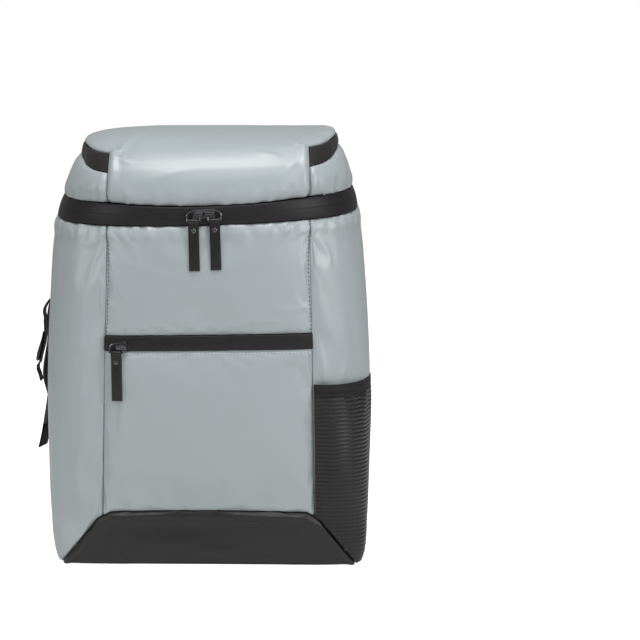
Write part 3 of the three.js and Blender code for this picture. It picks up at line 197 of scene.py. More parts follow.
def ring_at(level):
    """The plan ring at a level: 0 to 1 is the body, 1 to 2 the zip band and 2 to 3 the lid."""
    at, up = np.clip(level, 0, 1), np.clip(level - 2, 0, 1)
    depth = column(BODY_SECTIONS, at, "depth") * BODY_DEPTH
    reach = column(LID_SECTIONS, up, "reach") * BODY_DEPTH
    inset = column(LID_SECTIONS, up, "inset") * BODY_DEPTH
    body = {
        "height": at * BODY_HEIGHT,
        "half": column(BODY_SECTIONS, at, "width") * BODY_WIDTH / 2,
        "back_y": BACK_Y + 0 * at,
        "front_y": BACK_Y - depth,
        "waist_y": BACK_Y - depth * column(BODY_SECTIONS, at, "waist"),
        "front": column(BODY_SECTIONS, at, "front"),
        "back": column(BODY_SECTIONS, at, "back"),
        "taper": 0 * at,
    }
    lid = {
        "height": BODY_HEIGHT + ZIP_WIDTH + column(LID_SECTIONS, up, "height") * LID_HEIGHT,
        "half": column(LID_SECTIONS, up, "width") * LID_WIDTH / 2,
        "back_y": BACK_Y - inset,
        "front_y": BACK_Y - reach,
        "waist_y": BACK_Y - inset - (reach - inset) * column(LID_SECTIONS, up, "waist"),
        "front": column(LID_SECTIONS, up, "front"),
        "back": column(LID_SECTIONS, up, "back"),
        "taper": column(LID_SECTIONS, up, "taper"),
    }
    share = np.clip(level - 1, 0, 1)
    return {key: body[key] * (1 - share) + lid[key] * share for key in body}


def ring_point(ring, turn):
    """X and Y on a ring at a turn: 0 is the middle of the front, a quarter turn +X and a half turn the
    back."""
    across, ahead = np.sin(turn), np.cos(turn)
    reach = np.where(ahead > 0, ring["waist_y"] - ring["front_y"], ring["back_y"] - ring["waist_y"])
    square = np.where(ahead > 0, ring["front"], ring["back"])
    total = np.abs(across / ring["half"]) ** square + np.abs(ahead / reach) ** square
    radius = total ** (-1 / square)
    y = ring["waist_y"] - radius * ahead
    return radius * across * (1 - ring["taper"] * (BACK_Y - y) / BODY_DEPTH), y


def skin(turn, level):
    """The outside of the bag: it rises towards the back, leans and swings a little, and sags over the
    zip."""
    ring = ring_at(np.asarray(level, float))
    x, y = ring_point(ring, turn)
    height = ring["height"]
    behind = (y - FRONT_Y) / BODY_DEPTH
    fade = np.minimum(height / BODY_HEIGHT, 1) ** 2
    over_zip = np.maximum(1 - np.abs(height - SAG_HEIGHT) / SAG_SPREAD, 0) ** 2
    in_front = np.maximum(1 - (x / SEAM_X_BOTTOM) ** 2, 0) * np.maximum(1 - behind / SAG_DEPTH, 0)
    swing_fade = np.maximum((SWING_TOP - height) / (SWING_TOP - BODY_HEIGHT), 0)
    swing = np.minimum(height / BODY_HEIGHT, swing_fade)
    z = height + fade * (ZIP_RISE * behind + LID_LEAN * x) - LID_SAG * over_zip * in_front
    return np.stack([x - BACK_SWING * swing * behind, y + 0 * z, z], -1)


def unit(vectors):
    return vectors / np.maximum(np.linalg.norm(vectors, axis=-1, keepdims=True), 1e-12)


def outward(turn, level, wide=0.08, tall=0.06):
    """The direction out of the bag, taken over wide steps so that thick walls don't fold at tight
    corners."""
    across = skin(turn + wide, level) - skin(turn - wide, level)
    up = skin(turn, np.minimum(level + tall, 3)) - skin(turn, np.maximum(level - tall, 0))
    return unit(np.cross(across, up))


def turn_at_x(level, x):
    """The turn at which the front half of the ring reaches an X."""
    low, high = np.zeros(np.shape(level)), np.full(np.shape(level), QUARTER)
    ring = ring_at(np.asarray(level, float))
    for _ in range(40):
        middle = (low + high) / 2
        below = ring_point(ring, middle)[0] < x
        low, high = np.where(below, middle, low), np.where(below, high, middle)
    return (low + high) / 2


SEAM_X_TOP = 0.093
SEAM_X_BOTTOM = 0.1005
BACK_SEAM_SHARE = 0.84
KICK_HEIGHT = 0.054


def front_seam(level):
    """The turn of the seam between front and side: it leans in a little from the kick panel up."""
    low = KICK_HEIGHT / BODY_HEIGHT
    share = np.clip((level - low) / (1 - low), 0, 1)
    return turn_at_x(level, SEAM_X_BOTTOM + (SEAM_X_TOP - SEAM_X_BOTTOM) * share)


def back_seam(level):
    low, high = np.full(np.shape(level), QUARTER), np.full(np.shape(level), 2 * QUARTER)
    ring = ring_at(np.asarray(level, float))
    for _ in range(40):
        middle = (low + high) / 2
        beyond = ring_point(ring, middle)[0] > ring["half"] * BACK_SEAM_SHARE
        low, high = np.where(beyond, middle, low), np.where(beyond, high, middle)
    return (low + high) / 2


def shifted(turn, level, length):
    """A turn moved along the ring by a length."""
    step = 1e-3
    speed = np.linalg.norm(skin(turn + step, level) - skin(turn - step, level), axis=-1) / (2 * step)
    return turn + length / speed


def along_ring(level, start, end, share):
    """The turns at shares of the length of a ring between two turns."""
    level, start, end, share = np.broadcast_arrays(*np.atleast_1d(level, start, end, share))
    steps = np.linspace(0, 1, 61)
    turns = start[..., None] + (end - start)[..., None] * steps
    ring = {key: value[..., None] for key, value in ring_at(level).items()}
    x, y = ring_point(ring, turns)
    lengths = np.cumsum(np.hypot(np.diff(x), np.diff(y)), -1)
    lengths = np.concatenate([np.zeros((*level.shape, 1)), lengths], -1)
    wanted = share * lengths[..., -1]
    i = np.clip((lengths < wanted[..., None]).sum(-1), 1, 60)
    low = np.take_along_axis(lengths, i[..., None] - 1, -1)[..., 0]
    high = np.take_along_axis(lengths, i[..., None], -1)[..., 0]
    part = (wanted - low) / np.maximum(high - low, 1e-12)
    return start + (end - start) * (i - 1 + part) / 60


def eased(count, ends=0.85):
    """Shares from 0 to 1 that crowd towards both ends, where the seams need the detail."""
    steps = np.linspace(0, 1, count)
    return steps - ends * np.sin(2 * np.pi * steps) / (2 * np.pi)


def distances(points):
    """How far each point of a grid lies from its four edges, along the cloth."""
    across = np.linalg.norm(np.diff(points, axis=1), axis=2)
    up = np.linalg.norm(np.diff(points, axis=0), axis=2)
    left = np.concatenate([np.zeros((len(points), 1)), np.cumsum(across, 1)], 1)
    low = np.concatenate([np.zeros((1, points.shape[1])), np.cumsum(up, 0)], 0)
    return left, left[:, -1:] - left, low, low[-1:] - low


def roll(distance, width=0.0045, depth=0.0024):
    """How far a padded edge turns down into its seam."""
    inside = np.clip(distance / width, 0, 1)
    return -depth * (1 - np.sqrt(1 - (1 - inside) ** 2))


def ripple(along, waves):
    """A run of gathers along a seam from (wave length, height, start) rows."""
    return sum(height * np.sin(2 * np.pi * along / length + start) for length, height, start in waves)


def tucks(along, away, seed, height, spacing=0.014, reach=0.007):
    """The small tucks that easing the cloth into a seam leaves: short ridges that run away from it."""
    random = np.random.default_rng(seed)
    total, place = np.zeros(np.shape(along)), 0.0
    end = float(np.max(along))
    while place < end:
        place += spacing * random.uniform(0.45, 1.5)
        lean, wide = random.uniform(-0.5, 0.5), random.uniform(0.0028, 0.006)
        tall, far = random.uniform(0.35, 1.0), reach * random.uniform(0.6, 1.5)
        ridge = np.exp(-((along - place - lean * away) / (wide * (1 + away / 0.012))) ** 2)
        total = total + tall * ridge * np.exp(-(away / far) ** 1.5)
    return height * (total - 0.3 * np.exp(-(away / reach) ** 1.5))


def creases(along, up, rows):
    """Short soft folds, from rows of place along, place up, slope, half length and height."""
    total = np.zeros(np.shape(along))
    for place, height, slope, reach, tall in rows:
        run, rise = along - place, up - height
        slant = math.hypot(1, slope)
        total = total + tall * np.exp(-((run + slope * rise) / (slant * reach)) ** 2
                                      - ((rise - slope * run) / (slant * 0.0035)) ** 2)
    return total


def bump(distance, middle, spread):
    return np.exp(-((distance - middle) / spread) ** 2)


def grid_faces(rows, columns, start=0):
    spots = start + np.arange(rows * columns).reshape(rows, columns)
    a, b, c, d = spots[:-1, :-1], spots[:-1, 1:], spots[1:, 1:], spots[1:, :-1]
    return np.stack([a, b, c, d], -1).reshape(-1, 4)


def piece_mesh(name, points, faces, material, uv=None, sharp=50):
    """An object from points and faces, with the cloth's own lengths as its UV map."""
    mesh = bpy.data.meshes.new(name)
    mesh.from_pydata(points.tolist(), [], [tuple(f) for f in faces])
    if uv is not None:
        layer = mesh.uv_layers.new(name="cloth")
        corners = np.zeros(len(mesh.loops), dtype=np.int32)
        mesh.loops.foreach_get("vertex_index", corners)
        layer.data.foreach_set("uv", uv[corners].astype(np.float32).ravel())
    mesh.shade_smooth()
    mesh.set_sharp_from_angle(angle=math.radians(sharp))
    mesh.materials.append(material)
    made = bpy.data.objects.new(name, mesh)
    bpy.context.scene.collection.objects.link(made)
    return made


def wall(name, outer, inner, material, uv=None, sharp=50):
    """A closed wall from grids of its outer and inner points, mapped by its outer lengths or a map
    given."""
    rows, columns = outer.shape[:2]
    count = rows * columns
    top = grid_faces(rows, columns)
    rim = np.concatenate([
        np.arange(columns), columns * np.arange(1, rows) + columns - 1,
        (rows - 1) * columns + np.arange(columns - 1)[::-1], columns * np.arange(1, rows - 1)[::-1], [0]])
    sides = np.stack([rim[1:], rim[:-1], rim[:-1] + count, rim[1:] + count], -1)
    faces = np.concatenate([top, top[:, ::-1] + count, sides])
    left, _, low, _ = distances(outer)
    uv = (np.stack([left, low], -1) if uv is None else uv).reshape(-1, 2)
    points = np.concatenate([outer.reshape(-1, 3), inner.reshape(-1, 3)])
    return piece_mesh(name, points, faces, material, np.concatenate([uv, uv]), sharp)


def settled(name, outer, swell, loose):
    """Lets the cloth of a panel find its own folds: pinned at its seams, cut a little large and blown
    outwards from inside by its foam, with how far any point may move kept small."""
    rows, columns = outer.shape[:2]
    mesh = bpy.data.meshes.new(name + "_cloth")
    mesh.from_pydata(outer.reshape(-1, 3).tolist(), [], grid_faces(rows, columns).tolist())
    cloth_piece = bpy.data.objects.new(name + "_cloth", mesh)
    bpy.context.scene.collection.objects.link(cloth_piece)
    pins = cloth_piece.vertex_groups.new(name="seams")
    spots = np.arange(rows * columns).reshape(rows, columns)
    edge = np.concatenate([spots[0], spots[-1], spots[1:-1, 0], spots[1:-1, -1]])
    pins.add(edge.tolist(), 1.0, "REPLACE")
    cloth = cloth_piece.modifiers.new("cloth", "CLOTH")
    cloth.settings.quality = 6
    cloth.settings.mass = 0.3
    cloth.settings.tension_stiffness = 30
    cloth.settings.compression_stiffness = 30
    cloth.settings.shear_stiffness = 10
    cloth.settings.bending_stiffness = 3.0
    cloth.settings.shrink_min = -loose
    cloth.settings.use_pressure = True
    cloth.settings.uniform_pressure_force = swell
    cloth.settings.effector_weights.gravity = 0
    cloth.settings.vertex_group_mass = "seams"
    cloth.point_cache.frame_start = 1
    cloth.point_cache.frame_end = CLOTH_STEPS
    for step in range(1, CLOTH_STEPS + 1):
        bpy.context.scene.frame_set(step)
    evaluated = cloth_piece.evaluated_get(bpy.context.evaluated_depsgraph_get())
    moved = np.zeros(rows * columns * 3)
    evaluated.data.vertices.foreach_get("co", moved)
    moved = moved.reshape(rows, columns, 3) - outer
    far = np.linalg.norm(moved, axis=-1, keepdims=True)
    bpy.context.scene.frame_set(1)
    bpy.data.objects.remove(cloth_piece)
    return outer + moved * np.minimum(1, CLOTH_CAP / np.maximum(far, 1e-9))


CLOTH_CAP = 0.004
CLOTH_STEPS = 16


def soft_wall(name, turn, level, relief, material, proud=0.0, thick=PADDED_WALL, cloth=None):
    """A padded panel on the bag's skin, with its relief, let settle as cloth where that is asked for."""
    base, normal = skin(turn, level), outward(turn, level)
    outer = base + normal * (proud + relief(base))[..., None]
    if cloth:
        outer = settled(name, outer, *cloth)
    return wall(name, outer, base - normal * thick, material)


def belongs(piece, slot, *nodes, fill=None):
    """Ties a finished piece to the bag and hides the solids that it stands for; its finish (slot) is not
    used.
    """
    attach(piece, "root")
    if nodes:
        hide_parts(*nodes)


# Woven polyester under a smooth satin coating: a soft broad shine, hardly any thread to be seen, and slow
# changes of tone where the coating lies thicker.
THREAD_PITCH = 0.0006
# A wave texture of scale 1 repeats every 2 pi / 20 metres.
WAVE_REPEAT = 0.314
grey_cloth, tree, shader, coords = new_material("coated_polyester_grey")
weave_x = add(tree, "ShaderNodeTexWave", {"Scale": WAVE_REPEAT / THREAD_PITCH},
              {"Vector": coords.outputs["UV"]}, bands_direction="X")
weave_y = add(tree, "ShaderNodeTexWave", {"Scale": WAVE_REPEAT / THREAD_PITCH},
              {"Vector": coords.outputs["UV"]}, bands_direction="Y")
threads = add(tree, "ShaderNodeMath", None, {0: weave_x.outputs["Fac"], 1: weave_y.outputs["Fac"]},
              operation="ADD")
slow = add(tree, "ShaderNodeTexNoise", {"Scale": 9.0, "Detail": 3.0, "Roughness": 0.5},
           {"Vector": coords.outputs["Object"]})
mottle = add(tree, "ShaderNodeTexNoise", {"Scale": 160.0, "Detail": 4.0, "Roughness": 0.6},
             {"Vector": coords.outputs["Object"]})
base = add(tree, "ShaderNodeMix", None, {"Factor": slow.outputs["Fac"]}, data_type="RGBA")
base.inputs["A"].default_value = colour("899193")
base.inputs["B"].default_value = colour("8f9799")
tree.links.new(base.outputs["Result"], shader.inputs["Base Color"])
gloss = add(tree, "ShaderNodeMapRange", {"To Min": 0.38, "To Max": 0.46}, {"Value": mottle.outputs["Fac"]})
tree.links.new(gloss.outputs["Result"], shader.inputs["Roughness"])
fine = add(tree, "ShaderNodeBump", {"Strength": 0.25, "Distance": 0.00003},
           {"Height": threads.outputs["Value"]})
coarse = add(tree, "ShaderNodeBump", {"Strength": 0.3, "Distance": 0.0002},
             {"Height": mottle.outputs["Fac"], "Normal": fine.outputs["Normal"]})
tree.links.new(coarse.outputs["Normal"], shader.inputs["Normal"])
shader.inputs["IOR"].default_value = 1.5
shader.inputs["Coat Weight"].default_value = 0.25
shader.inputs["Coat Roughness"].default_value = 0.34


def level_shift(level, length):
    step = 1e-3
    speed = np.linalg.norm(skin(QUARTER, level + step) - skin(QUARTER, level - step)) / (2 * step)
    return level + length / speed


ZIP_EDGE = level_shift(1.0, -SEAM_GAP / 2)
POCKET_ZIP_BOTTOM = 0.209
POCKET_ZIP_WIDTH = 0.014


def front_grid(low, high, columns, rows, ends=0.85):
    """Turns and levels between the two front seams, from a lower edge, which may vary, to an upper one."""
    share = 2 * eased(columns, ends) - 1
    up = eased(rows, ends)[:, None]
    level = low(share) + (high - low(share)) * up
    level = np.broadcast_to(level, (rows, columns))
    edge = shifted(front_seam(level), level, -SEAM_GAP / 2)
    turn = np.sign(share) * along_ring(level, 0.0, edge, np.abs(share)[None, :])
    return turn, level


FRONT_CREASES = [(0.170, 0.022, 0.10, 0.022, 0.0007), (0.140, 0.012, 0.05, 0.030, 0.0006),
                 (0.040, 0.060, -0.30, 0.030, 0.0004)]


def upper_relief(base):
    left, right, low, high = distances(base)
    gathers = ripple(left, [(0.0125, 0.45, 0.4), (0.021, 0.4, 2.1), (0.037, 0.3, 0.7)])
    puff = 0.0011 * bump(high, 0.008, 0.006) * (1 + 0.9 * gathers) + 0.0005 * bump(low, 0.006, 0.005)
    puckers = 0.0004 * np.exp(-high / 0.009) * gathers + tucks(left, high, 11, 0.0014)
    low_gathers = tucks(left, low, 12, 0.0005, 0.016, 0.005)
    edges = roll(left) + roll(right) + roll(low, 0.004, 0.0018) + roll(high, 0.004, 0.002)
    return edges + puff + puckers + low_gathers + creases(left, low, FRONT_CREASES)


over_pocket_zip = (POCKET_ZIP_BOTTOM + POCKET_ZIP_WIDTH + SEAM_GAP / 2) / BODY_HEIGHT
turn, level = front_grid(lambda share: over_pocket_zip + 0 * share, ZIP_EDGE, 120, 70)
front_panel = soft_wall("upper_front", turn, level, upper_relief, grey_cloth, cloth=(1.5, 0.004))
belongs(front_panel, "grey_cloth", "front_panel", fill=0.5)

KICK_SAG = 0.0015
KICK_FLAT_X = 0.093
KICK_BEVEL_X = 0.106
KICK_BEVEL_HEIGHT = 0.046
KICK_TIP_X = 0.140
KICK_TIP_HEIGHT = 0.004


def kick_top(x):
    """The height of the black foot panel's upper edge: flat, bevelled, then straight down to the
    corners."""
    across = np.abs(x)
    flat = KICK_HEIGHT - KICK_SAG * (across / KICK_FLAT_X) ** 2
    slope = np.interp(across, [KICK_FLAT_X, KICK_BEVEL_X, KICK_TIP_X],
                      [KICK_HEIGHT - KICK_SAG, KICK_BEVEL_HEIGHT, KICK_TIP_HEIGHT])
    return np.where(across <= KICK_FLAT_X, flat, slope)


def pocket_relief(base):
    left, right, low, high = distances(base)
    width, height = left[:, -1:], high[:1]
    across, up = np.clip(left / width, 0, 1), np.clip(low / height, 0, 1)
    belly = 0.0025 * np.clip(np.sin(np.pi * across) * np.sin(np.pi * up), 0, 1) ** 0.6
    foot_gathers = ripple(left, [(0.028, 0.6, 0.4), (0.046, 0.5, 2.0)])
    edges = roll(left) + roll(right) + roll(low, 0.0045, 0.0022) + roll(high, 0.003, 0.0012)
    dent = -0.0012 * bump(right, 0.012, 0.010) * bump(high, 0.030, 0.016)
    dent = dent - 0.0009 * bump(left, 0.014, 0.010) * bump(high, 0.060, 0.022)
    return edges + belly + 0.0006 * np.exp(-low / 0.012) * foot_gathers + dent


turn, level = front_grid(lambda share: (kick_top(share * SEAM_X_BOTTOM) + SEAM_GAP) / BODY_HEIGHT,
                         (POCKET_ZIP_BOTTOM - SEAM_GAP / 2) / BODY_HEIGHT, 120, 90)
pocket_panel = soft_wall("pocket_front", turn, level, pocket_relief, grey_cloth, cloth=(1.2, 0.004))
belongs(pocket_panel, "grey_cloth", "pocket_panel", fill=0.5)


def side_edges(level):
    return shifted(front_seam(level), level, SEAM_GAP / 2), shifted(back_seam(level), level, -SEAM_GAP / 2)


def side_turn(level, share):
    return along_ring(level, *side_edges(level), share)


def side_foot(above):
    """The lower edge of a side panel: shares round the side and the levels of the edge there."""
    x = np.linspace(KICK_BEVEL_X, KICK_TIP_X, 30) + above
    level = (kick_top(x) + above) / BODY_HEIGHT
    turn = turn_at_x(level, x)
    low, high = np.zeros(30), np.ones(30)
    for _ in range(24):
        middle = (low + high) / 2
        below = side_turn(level, middle) < turn
        low, high = np.where(below, middle, low), np.where(below, high, middle)
    shares = np.concatenate([[0], low, [low[-1] + 0.012]])
    levels = np.concatenate([[(kick_top(SEAM_X_BOTTOM) + above) / BODY_HEIGHT], level, [0]])
    return shares, levels


def side_grid(side, low, high, columns, rows, ends=0.85):
    """Turns and levels round one side from the front seam to the back seam, between two edges."""
    share = eased(columns, ends)
    level = low(share) + (high(share) - low(share)) * eased(rows, ends)[:, None]
    level = np.broadcast_to(level, (rows, columns))
    turn = side * side_turn(level, share[None, :])
    return (turn, level) if side > 0 else (turn[:, ::-1], level[:, ::-1])


SIDE_CREASES = {-1: [(0.011, 0.170, 8.0, 0.060, 0.0008), (0.030, 0.060, -3.0, 0.040, 0.0005)],
                1: [(0.011, 0.186, -6.0, 0.018, 0.0013), (0.034, 0.190, 2.5, 0.020, 0.0009)]}
foot_shares, foot_levels = side_foot(SEAM_GAP)
for side, name in [(-1, "left"), (1, "right")]:

    def side_relief(base, side=side):
        left, right, low, high = distances(base)
        front, back = (left, right) if side > 0 else (right, left)
        gathers = ripple(front, [(0.0135, 0.45, 1.1 + side), (0.023, 0.4, 0.3), (0.041, 0.35, 2.2 * side)])
        puff = 0.0011 * bump(high, 0.009, 0.007) * (1 + 0.8 * gathers)
        puckers = 0.0004 * np.exp(-high / 0.010) * gathers + tucks(front, high, 20 + side, 0.0014)
        edges = roll(front) + roll(back) + roll(low, 0.005, 0.0024) + roll(high, 0.004, 0.002)
        seam_wave = ripple(low, [(0.050, 0.6, 0.5 + side), (0.083, 0.5, 1.9)])
        tension = 0.0007 * bump(front, 0.012, 0.010) * seam_wave
        return edges + puff + puckers + tension + creases(front, base[..., 2], SIDE_CREASES[side])

    turn, level = side_grid(side, lambda share: np.interp(share, foot_shares, foot_levels),
                            lambda share: ZIP_EDGE + 0 * share, 150, 120)
    panel = soft_wall(f"side_{name}", turn, level, side_relief, grey_cloth, cloth=(1.2, 0.003))
    belongs(panel, "grey_cloth", f"side_panel_{name}", fill=0.5)


# The black foot panel: the same padded build in a thicker satin-black coated cloth, with a ridge along
# its top edge where the seam allowance is folded under it.
black_coated, tree, shader, coords = new_material("coated_polyester_black")
slow = add(tree, "ShaderNodeTexNoise", {"Scale": 22.0, "Detail": 3.0}, {"Vector": coords.outputs["Object"]})
leathery = add(tree, "ShaderNodeTexNoise", {"Scale": 700.0, "Detail": 3.0},
               {"Vector": coords.outputs["Object"]})
base = add(tree, "ShaderNodeMix", None, {"Factor": slow.outputs["Fac"]}, data_type="RGBA")
base.inputs["A"].default_value = colour("141414")
base.inputs["B"].default_value = colour("191919")
tree.links.new(base.outputs["Result"], shader.inputs["Base Color"])
shader.inputs["Specular IOR Level"].default_value = 0.36
gloss = add(tree, "ShaderNodeMapRange", {"To Min": 0.38, "To Max": 0.5}, {"Value": leathery.outputs["Fac"]})
tree.links.new(gloss.outputs["Result"], shader.inputs["Roughness"])
pebble = add(tree, "ShaderNodeBump", {"Strength": 0.35, "Distance": 0.00006},
             {"Height": leathery.outputs["Fac"]})
tree.links.new(pebble.outputs["Normal"], shader.inputs["Normal"])
shader.inputs["IOR"].default_value = 1.5

x = (2 * eased(180) - 1) * KICK_TIP_X
top = kick_top(x) / BODY_HEIGHT
level = top * eased(50)[:, None]
turn = np.sign(x) * turn_at_x(top, np.abs(x)) + 0 * level


def kick_relief(base):
    _, _, low, high = distances(base)
    along = base[..., 0]
    ridge = 0.0026 * bump(high, 0.0060, 0.0040)
    dimples = -0.0010 * (bump(along, -0.032, 0.006) + bump(along, 0.004, 0.007)) * bump(high, 0.004, 0.005)
    sloped = np.clip((np.abs(along) - KICK_BEVEL_X) / 0.01, 0, 1)
    hollow = -0.0008 * np.sin(np.pi * np.clip(high / (high[:1] + 1e-9), 0, 1)) * (1 - sloped)
    return roll(high, 0.0035, 0.0022) + roll(low, 0.004, 0.0015) + ridge + dimples + hollow


kick_panel = soft_wall("foot_panel", turn, level, kick_relief, black_coated, cloth=(0.8, 0.002))
belongs(kick_panel, "black_coated", "kick_panel", fill=0.5)


# The zips: woven tape laminated with a matt black film, in two halves that meet edge to edge over the
# hidden teeth.
film, tree, shader, coords = new_material("laminated_zip_tape")
scuffs = add(tree, "ShaderNodeTexNoise", {"Scale": 260.0, "Detail": 4.0},
             {"Vector": coords.outputs["Object"]})
TAPE_RIB_PITCH = 0.0011
ribs = add(tree, "ShaderNodeTexWave", {"Scale": WAVE_REPEAT / TAPE_RIB_PITCH, "Distortion": 0.4},
           {"Vector": coords.outputs["UV"]}, bands_direction="X")
base = add(tree, "ShaderNodeMix", None, {"Factor": scuffs.outputs["Fac"]}, data_type="RGBA")
base.inputs["A"].default_value = colour("0e0e0e")
base.inputs["B"].default_value = colour("141414")
tree.links.new(base.outputs["Result"], shader.inputs["Base Color"])
shader.inputs["Specular IOR Level"].default_value = 0.28
gloss = add(tree, "ShaderNodeMapRange", {"To Min": 0.42, "To Max": 0.55}, {"Value": scuffs.outputs["Fac"]})
tree.links.new(gloss.outputs["Result"], shader.inputs["Roughness"])
ribbing = add(tree, "ShaderNodeBump", {"Strength": 0.2, "Distance": 0.00005},
              {"Height": ribs.outputs["Fac"]})
tree.links.new(ribbing.outputs["Normal"], shader.inputs["Normal"])

TAPE_SLIT = 0.00012
TAPE_PROUD = 0.0008


def tape_relief(outside_edge):
    """Relief of half a zip: a fine lip at the slit, a soft swell over the teeth, an edge under the
    panel."""
    def relief(base):
        _, _, low, high = distances(base)
        slit, edge = (high, low) if outside_edge == "low" else (low, high)
        swell = 0.0007 * np.cos(QUARTER * np.clip(slit / 0.009, 0, 1))
        return roll(slit, 0.0004, 0.0001) + roll(edge, 0.002, 0.0006) + swell
    return relief


def tape_grid(low, high, columns=400, rows=22):
    share = np.linspace(-1, 1, columns)
    level = np.broadcast_to(low + (high - low) * eased(rows, 0.6)[:, None], (rows, columns))
    end = shifted(back_seam(level), level, -SEAM_GAP / 2)
    return np.sign(share) * along_ring(level, 0.0, end, np.abs(share)[None, :]), level


slit_share = TAPE_SLIT / ZIP_WIDTH / 2
for part, low, high in [
    ("lower", level_shift(1.001, SEAM_GAP / 2), 1.5 - slit_share),
    ("upper", 1.5 + slit_share, level_shift(1.999, -SEAM_GAP / 2)),
]:
    turn, level = tape_grid(low, high)
    relief = tape_relief("low" if part == "lower" else "high")
    tape = soft_wall(f"main_tape_{part}", turn, level, relief, film, proud=TAPE_PROUD, thick=0.0018)
    belongs(tape, "zip_tape", f"main_zip_{part}")

pocket_middle = POCKET_ZIP_BOTTOM + POCKET_ZIP_WIDTH / 2
for part, low, high in [
    ("lower", POCKET_ZIP_BOTTOM + SEAM_GAP / 2, pocket_middle - TAPE_SLIT / 2),
    ("upper", pocket_middle + TAPE_SLIT / 2, POCKET_ZIP_BOTTOM + POCKET_ZIP_WIDTH - SEAM_GAP / 2),
]:
    turn, level = front_grid(lambda share, low=low: low / BODY_HEIGHT + 0 * share,
                             high / BODY_HEIGHT, 90, 18, 0.5)
    relief = tape_relief("low" if part == "lower" else "high")
    tape = soft_wall(f"pocket_tape_{part}", turn, level, relief, film, proud=TAPE_PROUD, thick=0.0018)
    belongs(tape, "zip_tape", f"pocket_zip_{part}")


# The lid: a grey middle panel that comes up the front and rolls over the whole top, grey sides below it,
# and a black strip let in between them round each upper edge.
STRIP_LOW = 2.34
STRIP_HIGH = 2.55
STRIP_RECESS = 0.0012
STRIP_THICK = 0.006
STRIP_LOW_CLIMB = 0.14
STRIP_HIGH_CLIMB = 0.09
STRIP_CLIMB_END = 0.4
LID_LOW = level_shift(2.0, SEAM_GAP / 2)
LID_SIDE_TOP = level_shift(STRIP_LOW, -SEAM_GAP / 2)
STRIP_BOTTOM = level_shift(STRIP_LOW, SEAM_GAP / 2)
STRIP_TOP = level_shift(STRIP_HIGH, -SEAM_GAP / 2)
CAP_EDGE = level_shift(STRIP_HIGH, SEAM_GAP / 2)


def climb_behind_corner(share, height):
    """How far a seam of the strips has climbed behind the lid's front corners."""
    way = np.minimum(share / STRIP_CLIMB_END, 1)
    return height * way * way * (3 - 2 * way)


for side, name in [(-1, "left"), (1, "right")]:

    def lid_side_relief(base, side=side):
        left, right, low, high = distances(base)
        front, back = (left, right) if side > 0 else (right, left)
        gathers = ripple(front, [(0.012, 0.4, 0.6 * side), (0.021, 0.4, 1.3), (0.035, 0.3, 0.4)])
        puff = 0.0010 * bump(low, 0.008, 0.007) * (1 + 0.6 * gathers) + tucks(front, low, 30 + side, 0.0012)
        puff = puff + 0.0016 * np.sin(np.pi * np.clip(low / (low + high + 1e-9), 0, 1))
        across = roll(front, 0.006, 0.003) + roll(back)
        return across + roll(low, 0.004, 0.0018) + roll(high, 0.004, 0.0022) + puff

    turn, level = side_grid(side, lambda share: LID_LOW + 0 * share,
                            lambda share: LID_SIDE_TOP + climb_behind_corner(share, STRIP_LOW_CLIMB),
                            130, 40)
    panel = soft_wall(f"lid_flank_{name}", turn, level, lid_side_relief, grey_cloth, cloth=(1.2, 0.006))
    belongs(panel, "grey_cloth", f"lid_side_{name}", fill=0.5)

    def strip_relief(base, side=side):
        left, right, low, high = distances(base)
        front = left if side > 0 else right
        crumple = 0.0004 * ripple(front, [(0.030, 0.5, 0.3), (0.053, 0.5, 1.0 * side)])
        return roll(low, 0.003, 0.001) + roll(high, 0.003, 0.001) + crumple

    turn, level = side_grid(side, lambda share: STRIP_BOTTOM + climb_behind_corner(share, STRIP_LOW_CLIMB),
                            lambda share: STRIP_TOP + climb_behind_corner(share, STRIP_HIGH_CLIMB), 130, 26)
    strip = soft_wall(f"lid_band_{name}", turn, level, strip_relief, black_coated,
                      proud=-STRIP_RECESS, thick=STRIP_THICK)
    belongs(strip, "black_coated", f"lid_strip_{name}")

# The middle panel has a front flap between the seams, then a cap whose rings run all the way round.
FLAP_ROWS, FLAP_COLUMNS, SIDE_COLUMNS, BACK_COLUMNS, CAP_ROWS = 46, 121, 90, 60, 56
share = 2 * eased(FLAP_COLUMNS) - 1
flap_level = LID_LOW + (CAP_EDGE - LID_LOW) * eased(FLAP_ROWS, 0.8)[:-1, None] + 0 * share
edge = shifted(front_seam(flap_level), flap_level, -SEAM_GAP / 2)
flap_turn = np.sign(share) * along_ring(flap_level, 0.0, edge, np.abs(share)[None, :])

seam = shifted(front_seam(np.array(CAP_EDGE)), CAP_EDGE, -SEAM_GAP / 2)
behind = back_seam(np.array(CAP_EDGE))
front_turns = np.sign(share) * along_ring(CAP_EDGE, 0.0, seam, np.abs(share))
side_turns = along_ring(CAP_EDGE, seam, behind, eased(SIDE_COLUMNS, 0.6)[1:])
back_turns = along_ring(CAP_EDGE, behind, 4 * QUARTER - behind, eased(BACK_COLUMNS, 0.6)[1:-1])
cap_turns = np.concatenate([front_turns, side_turns, back_turns, (4 * QUARTER - side_turns)[::-1]])
aside_climb = climb_behind_corner(eased(SIDE_COLUMNS, 0.6)[1:], STRIP_HIGH_CLIMB)
cap_edge = CAP_EDGE + np.concatenate([
    0 * share, aside_climb, np.full(BACK_COLUMNS - 2, STRIP_HIGH_CLIMB), aside_climb[::-1]])
cap_level = cap_edge + (3.0 - cap_edge) * (np.linspace(0, 1, CAP_ROWS)[:-1, None] ** 1.15)
cap_turn = cap_turns + 0 * cap_level

